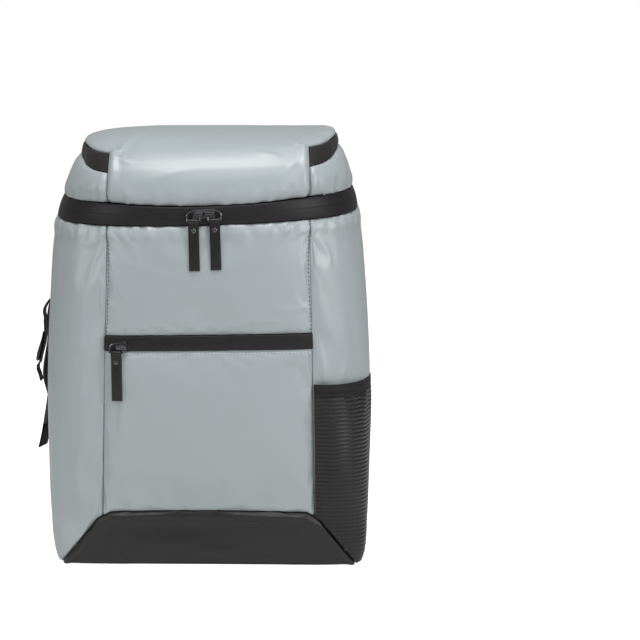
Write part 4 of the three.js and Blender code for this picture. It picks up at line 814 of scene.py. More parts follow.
FLAP_CREASES = [(0.015, -0.012, -0.35, 0.009, 0.0013), (0.150, -0.012, -0.45, 0.009, 0.0014),
                (0.060, -0.030, 0.20, 0.016, 0.0008), (0.172, -0.026, 1.30, 0.011, 0.0008)]
flap, cap = skin(flap_turn, flap_level), skin(cap_turn, cap_level)
corners = [skin(turn, CAP_EDGE) for turn in (-seam, seam)]
left, right, low, high = distances(flap)
gathers = ripple(left, [(0.0125, 0.4, 1.9), (0.022, 0.45, 0.2), (0.039, 0.35, 2.6)])
fold_up = np.clip((flap_level - 2.12) / 0.3, 0, 1)
flap_relief = (
    roll(left, 0.005, 0.0026) + roll(right, 0.005, 0.0026) + roll(low, 0.007, 0.0034)
    + 0.0010 * bump(low, 0.008, 0.007) * (1 + 0.6 * gathers) + tucks(left, low, 41, 0.0026)
    + (0.0008 + 0.0014 * fold_up) * (bump(left, 0.0065, 0.0042) + bump(right, 0.0065, 0.0042))
    + creases(left, -high, FLAP_CREASES))

columns = len(cap_turns)
climb = np.concatenate([np.zeros((1, columns)), np.cumsum(np.linalg.norm(np.diff(cap, axis=0), axis=2), 0)])
on_front = np.arange(columns) < FLAP_COLUMNS
to_corner = np.minimum(*[np.linalg.norm(cap - corner, axis=-1) for corner in corners])
edge_distance = np.where(on_front, to_corner, np.minimum(climb, to_corner + climb))
cap_relief = roll(edge_distance, 0.005, 0.0024)
along_top = np.cumsum(np.concatenate([[0], np.linalg.norm(np.diff(cap[0], axis=0), axis=1)]))
cap_relief = cap_relief + np.where(on_front, 0, 0.0005) * np.exp(-climb / 0.010) * ripple(
    along_top, [(0.023, 0.5, 0.2), (0.041, 0.5, 1.1)])
# The cap sinks a little towards the right and fills towards the left.
to_right = np.clip(cap[..., 0] / 0.09, -0.6, 1)
cap_relief = cap_relief - 0.0028 * to_right * (1 - np.exp(-(climb / 0.020) ** 2))
for corner, lean in zip(corners, (1, -1)):
    aside = (cap[..., 0] - corner[0]) * lean
    ahead = cap[..., 1] - corner[1]
    crease = bump(aside - 0.35 * ahead, 0.012, 0.004) - 0.7 * bump(aside - 0.35 * ahead, 0.021, 0.005)
    cap_relief = cap_relief + 0.0014 * crease * np.exp(-np.hypot(aside, ahead) / 0.03)
flap_out = flap + outward(flap_turn, flap_level) * flap_relief[..., None]
cap_out = cap + outward(cap_turn, cap_level) * cap_relief[..., None]
flap_in = flap - outward(flap_turn, flap_level) * PADDED_WALL
cap_in = cap - outward(cap_turn, cap_level) * PADDED_WALL
crown = skin(np.array(0.0), np.array(3.0))
outer = np.concatenate([flap_out.reshape(-1, 3), cap_out.reshape(-1, 3), [crown]])
inner = np.concatenate([flap_in.reshape(-1, 3), cap_in.reshape(-1, 3), [crown - [0, 0, PADDED_WALL]]])

flap_count = flap_level.size
faces = [grid_faces(FLAP_ROWS - 1, FLAP_COLUMNS)]
last = np.arange(FLAP_COLUMNS - 1) + (FLAP_ROWS - 2) * FLAP_COLUMNS
onto = flap_count + np.arange(FLAP_COLUMNS - 1)
faces.append(np.stack([last, last + 1, onto + 1, onto], -1))
k = np.arange(columns)
for row in range(CAP_ROWS - 2):
    here, above = flap_count + row * columns, flap_count + (row + 1) * columns
    faces.append(np.stack([here + k, here + (k + 1) % columns, above + (k + 1) % columns, above + k], -1))
faces = np.concatenate(faces)
top_ring = flap_count + (CAP_ROWS - 2) * columns
fan = np.stack([top_ring + k, top_ring + (k + 1) % columns, np.full(columns, len(outer) - 1)], -1)
rim_flap = np.concatenate([
    np.arange(FLAP_COLUMNS), FLAP_COLUMNS * np.arange(1, FLAP_ROWS - 1) + FLAP_COLUMNS - 1])
rim_cap = flap_count + np.concatenate([np.arange(FLAP_COLUMNS - 1, columns), [0]])
rim_back = FLAP_COLUMNS * np.arange(0, FLAP_ROWS - 1)[::-1]
rim = np.concatenate([rim_flap, rim_cap, rim_back])
count = len(outer)
sides = np.stack([rim[1:], rim[:-1], rim[:-1] + count, rim[1:] + count], -1)
every = [tuple(f) for f in np.concatenate([faces, faces[:, ::-1] + count, sides])]
every += [tuple(f) for f in np.concatenate([fan, fan[:, ::-1] + count])]
uv = np.stack([outer[:, 0], outer[:, 1] + outer[:, 2]], -1)
lid_panel = piece_mesh("lid_middle", np.concatenate([outer, inner]), every, grey_cloth,
                       np.concatenate([uv, uv]))
belongs(lid_panel, "grey_cloth", "lid_panel", fill=0.5)


# The lid's back edge, in the same grey cloth as its sides: a padded band across the bag's back, above the
# zip.
def across_back(low, high, columns, rows):
    """Turns and levels across the back between the two back seams."""
    share = 2 * eased(columns) - 1
    level = low + (high - low) * eased(rows)[:, None] + 0 * share
    edge = shifted(back_seam(level), level, SEAM_GAP / 2)
    turn = along_ring(level, edge, 2 * QUARTER, 1 - np.abs(share)[None, :])
    return np.where(share > 0, 4 * QUARTER - turn, turn), level


def padded_edges(base):
    left, right, low, high = distances(base)
    across = roll(left, 0.006, 0.003) + roll(right, 0.006, 0.003)
    return across + roll(low, 0.005, 0.0025) + roll(high, 0.005, 0.0025)


turn, level = across_back(1.5 + slit_share, STRIP_TOP + STRIP_HIGH_CLIMB, 90, 50)
lid_back = soft_wall("lid_rear", turn, level, padded_edges, grey_cloth, cloth=(1.0, 0.004))
belongs(lid_back, "grey_cloth", "lid_back", fill=0.5)

# The panel on the wearer's back: foam under a black knitted spacer cloth, sewn in at both back seams.
spacer, tree, shader, coords = new_material("knitted_spacer_cloth_black")
KNIT_PITCH = 0.0024
knit = add(tree, "ShaderNodeTexVoronoi", {"Scale": 1 / KNIT_PITCH}, {"Vector": coords.outputs["UV"]})
knit_tone = add(tree, "ShaderNodeMapRange", {"From Max": 0.6}, {"Value": knit.outputs["Distance"]})
base = add(tree, "ShaderNodeMix", None, {"Factor": knit_tone.outputs["Result"]}, data_type="RGBA")
base.inputs["A"].default_value = colour("161616")
base.inputs["B"].default_value = colour("232323")
tree.links.new(base.outputs["Result"], shader.inputs["Base Color"])
shader.inputs["Roughness"].default_value = 0.85
dimples = add(tree, "ShaderNodeBump", {"Strength": 0.6, "Distance": 0.0004},
              {"Height": knit_tone.outputs["Result"]})
tree.links.new(dimples.outputs["Normal"], shader.inputs["Normal"])

BACK_PAD = 0.010
BACK_PAD_PROUD = 0.002
turn, level = across_back(0.0, 1.5 - slit_share, 110, 110)
back_panel = soft_wall("back_pad", turn, level, padded_edges, spacer, proud=BACK_PAD_PROUD,
                       thick=BACK_PAD - BACK_PAD_PROUD - 0.0006, cloth=(1.2, 0.004))
belongs(back_panel, "padding_cloth", "back_panel", fill=0.6)


# The base: a foam board in the black coated cloth, let in between the foot of the walls, with rounded
# edges.
def tube(name, points, material, loop=False, uv=None, sharp=50):
    """A closed skin through rings of points, with a fan over each end unless it is a loop."""
    rows, sides = points.shape[:2]
    spots = np.arange(rows * sides).reshape(rows, sides)
    ends = spots[[0, -1]]
    if loop:
        spots = np.concatenate([spots, spots[:1]])
    spots = np.concatenate([spots, spots[:, :1]], 1)
    a, b, c, d = spots[:-1, :-1], spots[:-1, 1:], spots[1:, 1:], spots[1:, :-1]
    faces = [tuple(f) for f in np.stack([a, b, c, d], -1).reshape(-1, 4)]
    every = points.reshape(-1, 3)
    if not loop:
        every = np.concatenate([every, points[[0, -1]].mean(1)])
        middle = rows * sides
        faces += [(ends[0][(k + 1) % sides], ends[0][k], middle) for k in range(sides)]
        faces += [(ends[1][k], ends[1][(k + 1) % sides], middle + 1) for k in range(sides)]
    fans = [(f[0], f[k], f[k + 1]) for f in faces for k in range(1, len(f) - 1)]
    p, q, r = (every[[f[k] for f in fans]] for k in range(3))
    if np.einsum("ij,ij->", p, np.cross(q, r)) < 0:
        faces = [f[::-1] for f in faces]
    if uv is not None:
        uv = uv.reshape(-1, 2)
        if not loop:
            uv = np.concatenate([uv, uv[[0, -1]]])
    return piece_mesh(name, every, faces, material, uv, sharp)


BASE_THICK = 0.006
BASE_INSET = 0.0088
ring = ring_at(np.array(0.0))
ring = {**ring, "half": ring["half"] - BASE_INSET, "front_y": ring["front_y"] + BASE_INSET,
        "back_y": ring["back_y"] - BASE_INSET}
x, y = ring_point(ring, np.linspace(0, 4 * QUARTER, 161)[:-1])
outline = np.stack([x, y, 0 * x], -1)
centre = outline.mean(0)
rings = [outline + (centre - outline) * inset / 0.1 + [0, 0, height] for inset, height in [
    (0.003, 0.0), (0.0008, 0.0004), (0.0, 0.0016), (0.0, 0.0044), (0.0008, 0.0056), (0.003, BASE_THICK)]]
base_panel = tube("bottom_board", np.array(rings), black_coated, uv=np.array(rings)[..., :2])
belongs(base_panel, "black_coated", "base_panel", fill=0.7)


# The side pocket: stretch net of black yarn, sewn in at both seams and at its foot, gathered under a
# woven hem. The net's ribs run round the bag, bow down between the gathers and stand up from its small
# square holes.
RIB_PITCH = 0.0038
CELL_PITCH = 0.0034
net, tree, shader, coords = new_material("stretch_net_black")
uv_parts = add(tree, "ShaderNodeSeparateXYZ", None, {"Vector": coords.outputs["UV"]})
across_cells = add(tree, "ShaderNodeMath", {1: 2 * math.pi / CELL_PITCH}, {0: uv_parts.outputs["X"]},
                   operation="MULTIPLY")
cells = add(tree, "ShaderNodeMath", None, {0: across_cells.outputs["Value"]}, operation="SINE")
up_ribs = add(tree, "ShaderNodeMath", {1: 2 * math.pi / RIB_PITCH}, {0: uv_parts.outputs["Y"]},
              operation="MULTIPLY")
ribs = add(tree, "ShaderNodeMath", None, {0: up_ribs.outputs["Value"]}, operation="COSINE")
rib_tone = add(tree, "ShaderNodeMapRange", {"From Min": -0.6, "From Max": 0.9},
               {"Value": ribs.outputs["Value"]})
cell_tone = add(tree, "ShaderNodeMapRange", {"From Min": -0.2, "From Max": 1.0, "To Max": 0.25},
                {"Value": cells.outputs["Value"]})
yarn = add(tree, "ShaderNodeMath", None, {0: rib_tone.outputs["Result"], 1: cell_tone.outputs["Result"]},
           operation="MAXIMUM")
base = add(tree, "ShaderNodeMix", None, {"Factor": yarn.outputs["Value"]}, data_type="RGBA")
base.inputs["A"].default_value = colour("050505")
base.inputs["B"].default_value = colour("161616")
tree.links.new(base.outputs["Result"], shader.inputs["Base Color"])
shader.inputs["Roughness"].default_value = 0.42
shader.inputs["Specular IOR Level"].default_value = 0.36
knots = add(tree, "ShaderNodeBump", {"Strength": 0.3, "Distance": 0.0002}, {"Height": yarn.outputs["Value"]})
tree.links.new(knots.outputs["Normal"], shader.inputs["Normal"])

POCKET_HEIGHT = 0.176
POCKET_ROOM = 0.0065
POCKET_LIFT = 0.0002
HEM_WIDTH = 0.011
NET_THICK = 0.0009
HEM_THICK = 0.0017
POCKET_FOLD = {"at": [0, 0.07, 0.13, 0.22, 0.32, 1], "off": [0.05, 0.85, 1, 0.5, 0.1, 0.05]}
pocket_shares, pocket_levels = side_foot(SEAM_GAP)


def pocket_wall(name, low, high, columns, rows, thick, relief, material):
    """A band of the side pocket, which stands off the side panel near its front corner."""
    turn, level = side_grid(1, low, lambda share: high / BODY_HEIGHT + 0 * share, columns, rows, 0.4)
    share = eased(columns, 0.4)
    up = np.sin(np.pi * np.minimum(level * BODY_HEIGHT / POCKET_HEIGHT, 0.5))
    off = SEAM_GAP + POCKET_ROOM * column(POCKET_FOLD, share, "off") * up
    normal = outward(turn, level)
    inner = skin(turn, level) + normal * off[..., None]
    outer = inner + normal * (thick + relief(inner))[..., None]
    lengths = np.stack([distances(inner)[0], inner[..., 2]], -1)
    return wall(name, outer, inner, material, lengths), outer


def net_relief(base):
    left, right, low, high = distances(base)
    gathers = ripple(left, [(0.013, 0.4, 0.3), (0.019, 0.4, 1.7), (0.031, 0.3, 2.6)])
    folds = 0.0006 * np.exp(-high / 0.020) * gathers + tucks(left, high, 51, 0.0016, 0.012, 0.030)
    bowed = base[..., 2] + 0.0010 * np.exp(-high / 0.04) * gathers
    ribs = 0.0007 * np.abs(np.cos(np.pi * bowed / RIB_PITCH)) ** 3
    edge = np.minimum(np.minimum(left, right), np.minimum(low, high))
    return folds * np.clip(np.minimum(left, right) / 0.01, 0, 1) + ribs * np.clip(edge / 0.002, 0, 1)


def net_foot(share):
    return np.maximum(np.interp(share, pocket_shares, pocket_levels), POCKET_LIFT / BODY_HEIGHT)


pocket, _ = pocket_wall("side_net", net_foot, POCKET_HEIGHT - HEM_WIDTH - SEAM_GAP, 110, 250, NET_THICK,
                        net_relief, net)

# The pocket's hem: the webbing's own black polyester, woven as a flat band, sewn on with two rows of
# stitches.
YARN_PITCH = 0.0012
webbing, tree, shader, coords = new_material("woven_polyester_webbing_black")
warp = add(tree, "ShaderNodeTexWave", {"Scale": WAVE_REPEAT / YARN_PITCH, "Distortion": 0.3},
           {"Vector": coords.outputs["UV"]}, bands_direction="Y")
weft = add(tree, "ShaderNodeTexWave", {"Scale": WAVE_REPEAT / (0.6 * YARN_PITCH)},
           {"Vector": coords.outputs["UV"]}, bands_direction="X")
weave = add(tree, "ShaderNodeMath", None, {0: warp.outputs["Fac"], 1: weft.outputs["Fac"]},
            operation="MULTIPLY")
base = add(tree, "ShaderNodeMix", None, {"Factor": weave.outputs["Value"]}, data_type="RGBA")
base.inputs["A"].default_value = colour("050505")
base.inputs["B"].default_value = colour("0e0e0e")
tree.links.new(base.outputs["Result"], shader.inputs["Base Color"])
shader.inputs["Roughness"].default_value = 0.7
shader.inputs["Specular IOR Level"].default_value = 0.35
yarns = add(tree, "ShaderNodeBump", {"Strength": 0.6, "Distance": 0.0002},
            {"Height": weave.outputs["Value"]})
tree.links.new(yarns.outputs["Normal"], shader.inputs["Normal"])


def hem_relief(base):
    left, _, low, high = distances(base)
    gathers = ripple(left, [(0.013, 0.4, 0.3), (0.019, 0.4, 1.7), (0.031, 0.3, 2.6)])
    rows = -0.0006 * (bump(low, 0.0028, 0.0008) + bump(high, 0.0028, 0.0008))
    edges = roll(low, 0.001, 0.0006) + roll(high, 0.001, 0.0006)
    return edges + rows + 0.0003 * gathers * np.clip(left / 0.01, 0, 1)


hem_foot = (POCKET_HEIGHT - HEM_WIDTH) / BODY_HEIGHT
hem, hem_face = pocket_wall("pocket_binding", lambda share: hem_foot + 0 * share, POCKET_HEIGHT, 150, 30,
                            HEM_THICK, hem_relief, webbing)
belongs(hem, "hem_tape", "side_pocket_hem")
belongs(pocket, "pocket_mesh", "side_pocket")


# The pulls: on each slider a wire ring, round which a folded rubber tab hangs, shut by one rivet.
# Sliders, rings and rivets are die-cast and drawn metal with a black finish.
black_metal, tree, shader, coords = new_material("blackened_zinc")
wear = add(tree, "ShaderNodeTexNoise", {"Scale": 900.0, "Detail": 2.0}, {"Vector": coords.outputs["Object"]})
gloss = add(tree, "ShaderNodeMapRange", {"To Min": 0.10, "To Max": 0.18}, {"Value": wear.outputs["Fac"]})
tree.links.new(gloss.outputs["Result"], shader.inputs["Roughness"])
shader.inputs["Base Color"].default_value = colour("4e4e50")
shader.inputs["Metallic"].default_value = 0.85

rubber, tree, shader, coords = new_material("moulded_rubber_black")
skin_grain = add(tree, "ShaderNodeTexNoise", {"Scale": 1400.0, "Detail": 2.0},
                 {"Vector": coords.outputs["Object"]})
shader.inputs["Base Color"].default_value = colour("0c0c0c")
shader.inputs["Specular IOR Level"].default_value = 0.35
gloss = add(tree, "ShaderNodeMapRange", {"To Min": 0.36, "To Max": 0.46},
            {"Value": skin_grain.outputs["Fac"]})
tree.links.new(gloss.outputs["Result"], shader.inputs["Roughness"])
matt = add(tree, "ShaderNodeBump", {"Strength": 0.2, "Distance": 0.00003},
           {"Height": skin_grain.outputs["Fac"]})
tree.links.new(matt.outputs["Normal"], shader.inputs["Normal"])


def moulded(name, node, material, radius, slot, steps=3):
    """A hard part as its solid in the frame, with its edges rounded off."""
    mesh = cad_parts[node].data.copy()
    mesh.materials.clear()
    mesh.materials.append(material)
    work = bmesh.new()
    work.from_mesh(mesh)
    bmesh.ops.remove_doubles(work, verts=work.verts, dist=1e-5)
    bmesh.ops.dissolve_limit(work, angle_limit=math.radians(2), verts=work.verts, edges=work.edges)
    if radius:
        edges = [e for e in work.edges if e.is_manifold and e.calc_face_angle() > math.radians(35)]
        bmesh.ops.bevel(work, geom=edges, offset=radius, segments=steps, profile=0.5, affect="EDGES",
                        clamp_overlap=True)
    bmesh.ops.triangulate(work, faces=[f for f in work.faces if len(f.verts) > 4])
    work.to_mesh(mesh)
    work.free()
    mesh.shade_smooth()
    mesh.set_sharp_from_angle(angle=math.radians(32))
    made = bpy.data.objects.new(name, mesh)
    bpy.context.scene.collection.objects.link(made)
    belongs(made, slot, node)
    return made


for name in ("main_left", "main_right", "pocket"):
    moulded(f"zip_slider_{name}", f"slider_{name}", black_metal, 0.0003, "dark_metal")
    moulded(f"wire_ring_{name}", f"pull_ring_{name}", black_metal, 0.0, "dark_metal")
    moulded(f"tab_{name}", f"pull_tab_{name}", rubber, 0.0004, "pull_rubber")
    moulded(f"rivet_{name}", f"pull_rivet_{name}", black_metal, 0.0, "dark_metal")


# The shoulder straps: foam under black nylon cloth, bound flat along both edges, from the back panel's
# top down to a ladder lock each.
nylon, tree, shader, coords = new_material("nylon_cloth_black")
NYLON_PITCH = 0.0008
warp = add(tree, "ShaderNodeTexWave", {"Scale": WAVE_REPEAT / NYLON_PITCH}, {"Vector": coords.outputs["UV"]},
           bands_direction="X")
weft = add(tree, "ShaderNodeTexWave", {"Scale": WAVE_REPEAT / NYLON_PITCH}, {"Vector": coords.outputs["UV"]},
           bands_direction="Y")
weave = add(tree, "ShaderNodeMath", None, {0: warp.outputs["Fac"], 1: weft.outputs["Fac"]}, operation="ADD")
shader.inputs["Base Color"].default_value = colour("0f0f0f")
shader.inputs["Roughness"].default_value = 0.6
cloth_grain = add(tree, "ShaderNodeBump", {"Strength": 0.4, "Distance": 0.0001},
                  {"Height": weave.outputs["Value"]})
tree.links.new(cloth_grain.outputs["Normal"], shader.inputs["Normal"])

STRAP_WIDTH = 0.056
STRAP_THICK = 0.010
STRAP_SEAT = 0.0003
STRAP_BOW = 0.040
BINDING_WIDTH = 0.005
BINDING_THICK = 0.003
STRAPS = {
    "left": {
        "at": [0, 0.1, 0.25, 0.42, 0.58, 0.76, 0.9, 1],
        "out": [0.35, 0.4, 0.6, 0.85, 0.985, 1.01, 1.105, 1.135],
        "up": [1.03, 0.965, 0.885, 0.8, 0.705, 0.59, 0.485, 0.415],
        "bow": [0, 0.01, 0.22, 0.4, 0.5, 0.58, 0.62, 0.64],
        "turn": [0, 0, 0, 2, 6, 18, 54, 76],
        "width": [0.86, 0.96, 1, 1, 1, 0.98, 0.92, 0.74],
    },
    "right": {
        "at": [0, 0.1, 0.25, 0.42, 0.58, 0.76, 0.9, 1],
        "out": [0.35, 0.39, 0.47, 0.54, 0.57, 0.6, 0.68, 0.78],
        "up": [1.03, 0.965, 0.87, 0.75, 0.62, 0.47, 0.345, 0.27],
        "bow": [0, 0.01, 0.24, 0.48, 0.62, 0.78, 1.0, 1.14],
        "turn": [0, 0, 0, 0, 4, 12, 30, 44],
        "width": [0.86, 0.96, 1, 1, 1, 0.98, 0.92, 0.74],
    },
}


def strap_line(side, rows, at):
    """The strap's middle line, the direction across it and its width's share at shares of the way down."""
    out, up, bow, turn, width = (column(rows, at, key) for key in ("out", "up", "bow", "turn", "width"))
    turn = np.radians(turn)
    y = BACK_Y + BACK_PAD_PROUD + STRAP_SEAT + STRAP_THICK / 2 + bow * STRAP_BOW
    points = np.stack([side * out * BODY_WIDTH / 2, y, up * BODY_HEIGHT], -1)
    return points, np.stack([np.cos(turn), -side * np.sin(turn), 0 * turn], -1), width


def swept(path, across, section, loop=False):
    """Rings of a section's points (across, out of the face) carried along a path."""
    path, across = np.asarray(path, float), np.broadcast_to(np.asarray(across, float), np.shape(path))
    along = np.roll(path, -1, 0) - np.roll(path, 1, 0) if loop else np.gradient(path, axis=0)
    along = unit(along)
    wide = unit(across - along * (along * across).sum(-1, keepdims=True))
    face = np.cross(along, wide)
    section = np.broadcast_to(section, (len(path), *np.shape(section)[-2:]))
    return path[:, None] + wide[:, None] * section[..., :1] + face[:, None] * section[..., 1:]


def strip_uv(rings):
    """Lengths along a swept strip and round its section."""
    along = np.concatenate([[0], np.cumsum(np.linalg.norm(np.diff(rings.mean(1), axis=0), axis=1))])
    around = np.concatenate([np.zeros((len(rings), 1)),
                             np.cumsum(np.linalg.norm(np.diff(rings, axis=1), axis=2), 1)], 1)
    return np.stack([along[:, None] + 0 * around, around], -1)


def strap_section(width, fullness):
    """The strap's section: foam that swells between two flat bound edges."""
    half = width / 2
    u = half * np.sin(np.linspace(-QUARTER, QUARTER, 34))
    from_edge = half - np.abs(u)
    edge = BINDING_THICK / 2 * np.sqrt(1 - (1 - np.clip(from_edge / 0.0014, 0, 1)) ** 2)
    swell = np.sqrt(1 - (1 - np.clip((from_edge - BINDING_WIDTH) / 0.007, 0, 1)) ** 2)
    v = edge + (STRAP_THICK / 2 - BINDING_THICK / 2) * swell * fullness
    return np.concatenate([np.stack([u, -v], -1)[1:], np.stack([u[::-1], v[::-1]], -1)[1:]])


strap_edges = {}
for name, side in [("left", -1), ("right", 1)]:
    at = np.linspace(0, 1, 120)
    path, across, width = strap_line(side, STRAPS[name], at)
    length = np.concatenate([[0], np.cumsum(np.linalg.norm(np.diff(path, axis=0), axis=1))])
    from_end = np.minimum(length, length[-1] - length)
    full = np.sqrt(1 - (1 - np.clip((from_end + 0.001) / 0.012, 0, 1)) ** 2)
    section = np.array([strap_section(STRAP_WIDTH * w, f) for w, f in zip(width, full)])
    rings = swept(path, across, section)
    strap = tube(f"strap_{name}", rings, nylon, uv=strip_uv(rings))
    belongs(strap, "padding_cloth", f"shoulder_strap_{name}", fill=0.6)
    inside = STRAP_WIDTH / 2 * width - BINDING_WIDTH + 0.0012
    rows = [np.stack([edge * inside, face * BINDING_THICK / 2 * np.ones(len(at))], -1)[:, None]
            for edge in (-1, 1) for face in (-1, 1)]
    strap_edges[strap] = [swept(path, across, row)[4:-4, 0] for row in rows]


# The ladder locks of moulded acetal, the short loops that hold them, and the webbing that runs through
# them from the gusset at the bag's foot and ends in a free tail.
acetal, tree, shader, coords = new_material("moulded_acetal_black")
sink = add(tree, "ShaderNodeTexNoise", {"Scale": 300.0, "Detail": 2.0}, {"Vector": coords.outputs["Object"]})
gloss = add(tree, "ShaderNodeMapRange", {"To Min": 0.28, "To Max": 0.4}, {"Value": sink.outputs["Fac"]})
tree.links.new(gloss.outputs["Result"], shader.inputs["Roughness"])
shader.inputs["Base Color"].default_value = colour("101010")

WEBBING_WIDTH = 0.025
WEBBING_THICK = 0.0016
WEBBING_GAP = 0.0005
LOCK_HEIGHT = 0.026
LOCK_THICK = 0.004
LOCK_RIM = 0.0032
LOCK_DROP = 0.022
TAIL_LENGTHS = {"left": 0.030, "right": 0.010}
TAIL_FLARE = 0.0015
GUSSET_LOW = 0.024
GUSSET_HIGH = 0.080
GUSSET_REACH = 0.037
GUSSET_FLARE = 0.145
GUSSET_TIP = 0.033
GUSSET_THICK = 0.0025
GUSSET_LAP = 0.020
BEND_POWER = 0.6


def smooth_line(points, count):
    """A smooth line through points, evenly along its length."""
    points = np.array(points, float)
    lengths = np.concatenate([[0], np.cumsum(np.linalg.norm(np.diff(points, axis=0), axis=1) ** 0.5)])
    table = {"at": lengths / lengths[-1], "x": points[:, 0], "y": points[:, 1], "z": points[:, 2]}
    at = np.linspace(0, 1, count)
    return np.stack([column(table, at, axis) for axis in "xyz"], -1)


def hairpin(depth, reach, heights):
    """A line round a bar: up behind it and down in front, with a squarish bend."""
    turns = np.linspace(2 * QUARTER, 0, 25)
    bend = np.stack([
        0 * turns,
        depth * np.sign(np.cos(turns)) * np.abs(np.cos(turns)) ** BEND_POWER,
        reach * np.maximum(np.sin(turns), 0) ** BEND_POWER], -1)
    return np.concatenate([[[0, -depth, heights[0]]], bend, [[0, depth, heights[1]]]])


def ribbon_section(width, thick):
    """The section of flat webbing with rounded selvedges, the seam of its map on one edge."""
    turns = np.linspace(0, 4 * QUARTER, 29)[:-1]
    u = width / 2 * np.sign(np.cos(turns)) * np.abs(np.cos(turns)) ** 0.35
    v = thick / 2 * np.sign(np.sin(turns)) * np.abs(np.sin(turns)) ** 0.55
    return np.stack([u, v], -1)


def evened(path, across, spacing=0.0016):
    """A path and the directions across it at even lengths."""
    lengths = np.concatenate([[0], np.cumsum(np.linalg.norm(np.diff(path, axis=0), axis=1))])
    places = np.linspace(0, lengths[-1], int(lengths[-1] / spacing) + 2)
    pick = [np.interp(places, lengths, path[:, k]) for k in range(3)]
    turn = [np.interp(places, lengths, across[:, k]) for k in range(3)]
    return np.stack(pick, -1), np.stack(turn, -1)


def gusset_corners(side):
    def seam(height):
        level = np.array(height / BODY_HEIGHT)
        turn = shifted(back_seam(level), level, -2 * GUSSET_THICK)
        return skin(side * turn, level) + outward(side * turn, level) * GUSSET_THICK
    tip = np.array([side * GUSSET_FLARE, BACK_Y + GUSSET_REACH, GUSSET_TIP])
    return seam(GUSSET_HIGH), seam(GUSSET_LOW), tip


for name, side in [("left", -1), ("right", 1)]:
    path, across, _ = strap_line(side, STRAPS[name], np.linspace(0, 1, 19))
    along = unit(path[-1] - path[-2])
    wide = unit(across[-1] - along * (across[-1] @ along))
    out = np.cross(along, wide)
    out = out if out @ [side, 1, 0] > 0 else -out
    up = -along
    right = np.cross(out, up)
    middle = path[-1] + along * LOCK_DROP
    basis = np.stack([right, out, up])
    moulded(f"ladder_{name}", f"ladder_lock_{name}", acetal, 0.0007, "buckle_plastic")

    depth = LOCK_THICK / 2 + WEBBING_GAP + WEBBING_THICK / 2
    bend = LOCK_RIM / 2 + WEBBING_GAP + WEBBING_THICK / 2
    top_bar = LOCK_HEIGHT / 2 - LOCK_RIM / 2
    leg = top_bar - (LOCK_DROP - SEAM_GAP)
    keeper = hairpin(depth, bend, [leg, leg])
    keeper[:, 2] = top_bar - keeper[:, 2]
    placed, sideways = evened(keeper @ basis + middle, np.tile(right, (len(keeper), 1)))
    rings = swept(placed, sideways, ribbon_section(WEBBING_WIDTH, WEBBING_THICK))
    loop = tube(f"lock_loop_{name}", rings, webbing, uv=strip_uv(rings))
    belongs(loop, "webbing", f"strap_keeper_{name}")

    high, low, tip = gusset_corners(side)
    inwards = unit((high + low) / 2 - tip)
    behind = unit(np.cross(high - tip, low - tip))
    behind = behind if behind[1] > 0 else -behind
    lift = GUSSET_THICK / 2 + WEBBING_GAP + WEBBING_THICK / 2
    tail = TAIL_LENGTHS[name]
    round_bar = hairpin(depth, bend, [-LOCK_HEIGHT / 2 - LOCK_THICK, -LOCK_HEIGHT / 2])
    free = smooth_line([
        [0, depth, -LOCK_HEIGHT / 2], [0, depth + TAIL_FLARE / 4, -LOCK_HEIGHT / 2 - tail / 2],
        [0, depth + TAIL_FLARE, -LOCK_HEIGHT / 2 - tail]], 12)[1:]
    placed = np.concatenate([round_bar, free]) @ basis + middle
    below = np.array([0, -depth - WEBBING_GAP, -LOCK_HEIGHT / 2 - 3 * LOCK_THICK]) @ basis + middle
    lead = smooth_line([
        tip + inwards * GUSSET_LAP + behind * lift, tip + inwards * GUSSET_LAP / 2 + behind * lift,
        tip + behind * (lift + WEBBING_GAP), below, placed[0]], 40)[:-1]
    on_lead = np.cross(inwards, behind)
    on_lead = on_lead if on_lead @ right > 0 else -on_lead
    twist = np.clip(4 * np.arange(len(lead)) / len(lead) - 2, 0, 1)[:, None]
    sideways = np.concatenate([on_lead + (right - on_lead) * twist, np.tile(right, (len(placed), 1))])
    path, sideways = evened(np.concatenate([lead, placed]), sideways)
    rings = swept(path, sideways, ribbon_section(WEBBING_WIDTH, WEBBING_THICK))
    strip = tube(f"adjusting_webbing_{name}", rings, webbing, uv=strip_uv(rings))
    belongs(strip, "webbing", f"strap_webbing_{name}")

# The gussets: triangles of dark grey coated cloth, folded double, that tie the webbing to the back seams.
gusset_cloth, tree, shader, coords = new_material("coated_polyester_dark_grey")
slow = add(tree, "ShaderNodeTexNoise", {"Scale": 60.0, "Detail": 3.0}, {"Vector": coords.outputs["Object"]})
base = add(tree, "ShaderNodeMix", None, {"Factor": slow.outputs["Fac"]}, data_type="RGBA")
base.inputs["A"].default_value = colour("33383b")
base.inputs["B"].default_value = colour("3c4245")
tree.links.new(base.outputs["Result"], shader.inputs["Base Color"])
shader.inputs["Roughness"].default_value = 0.45

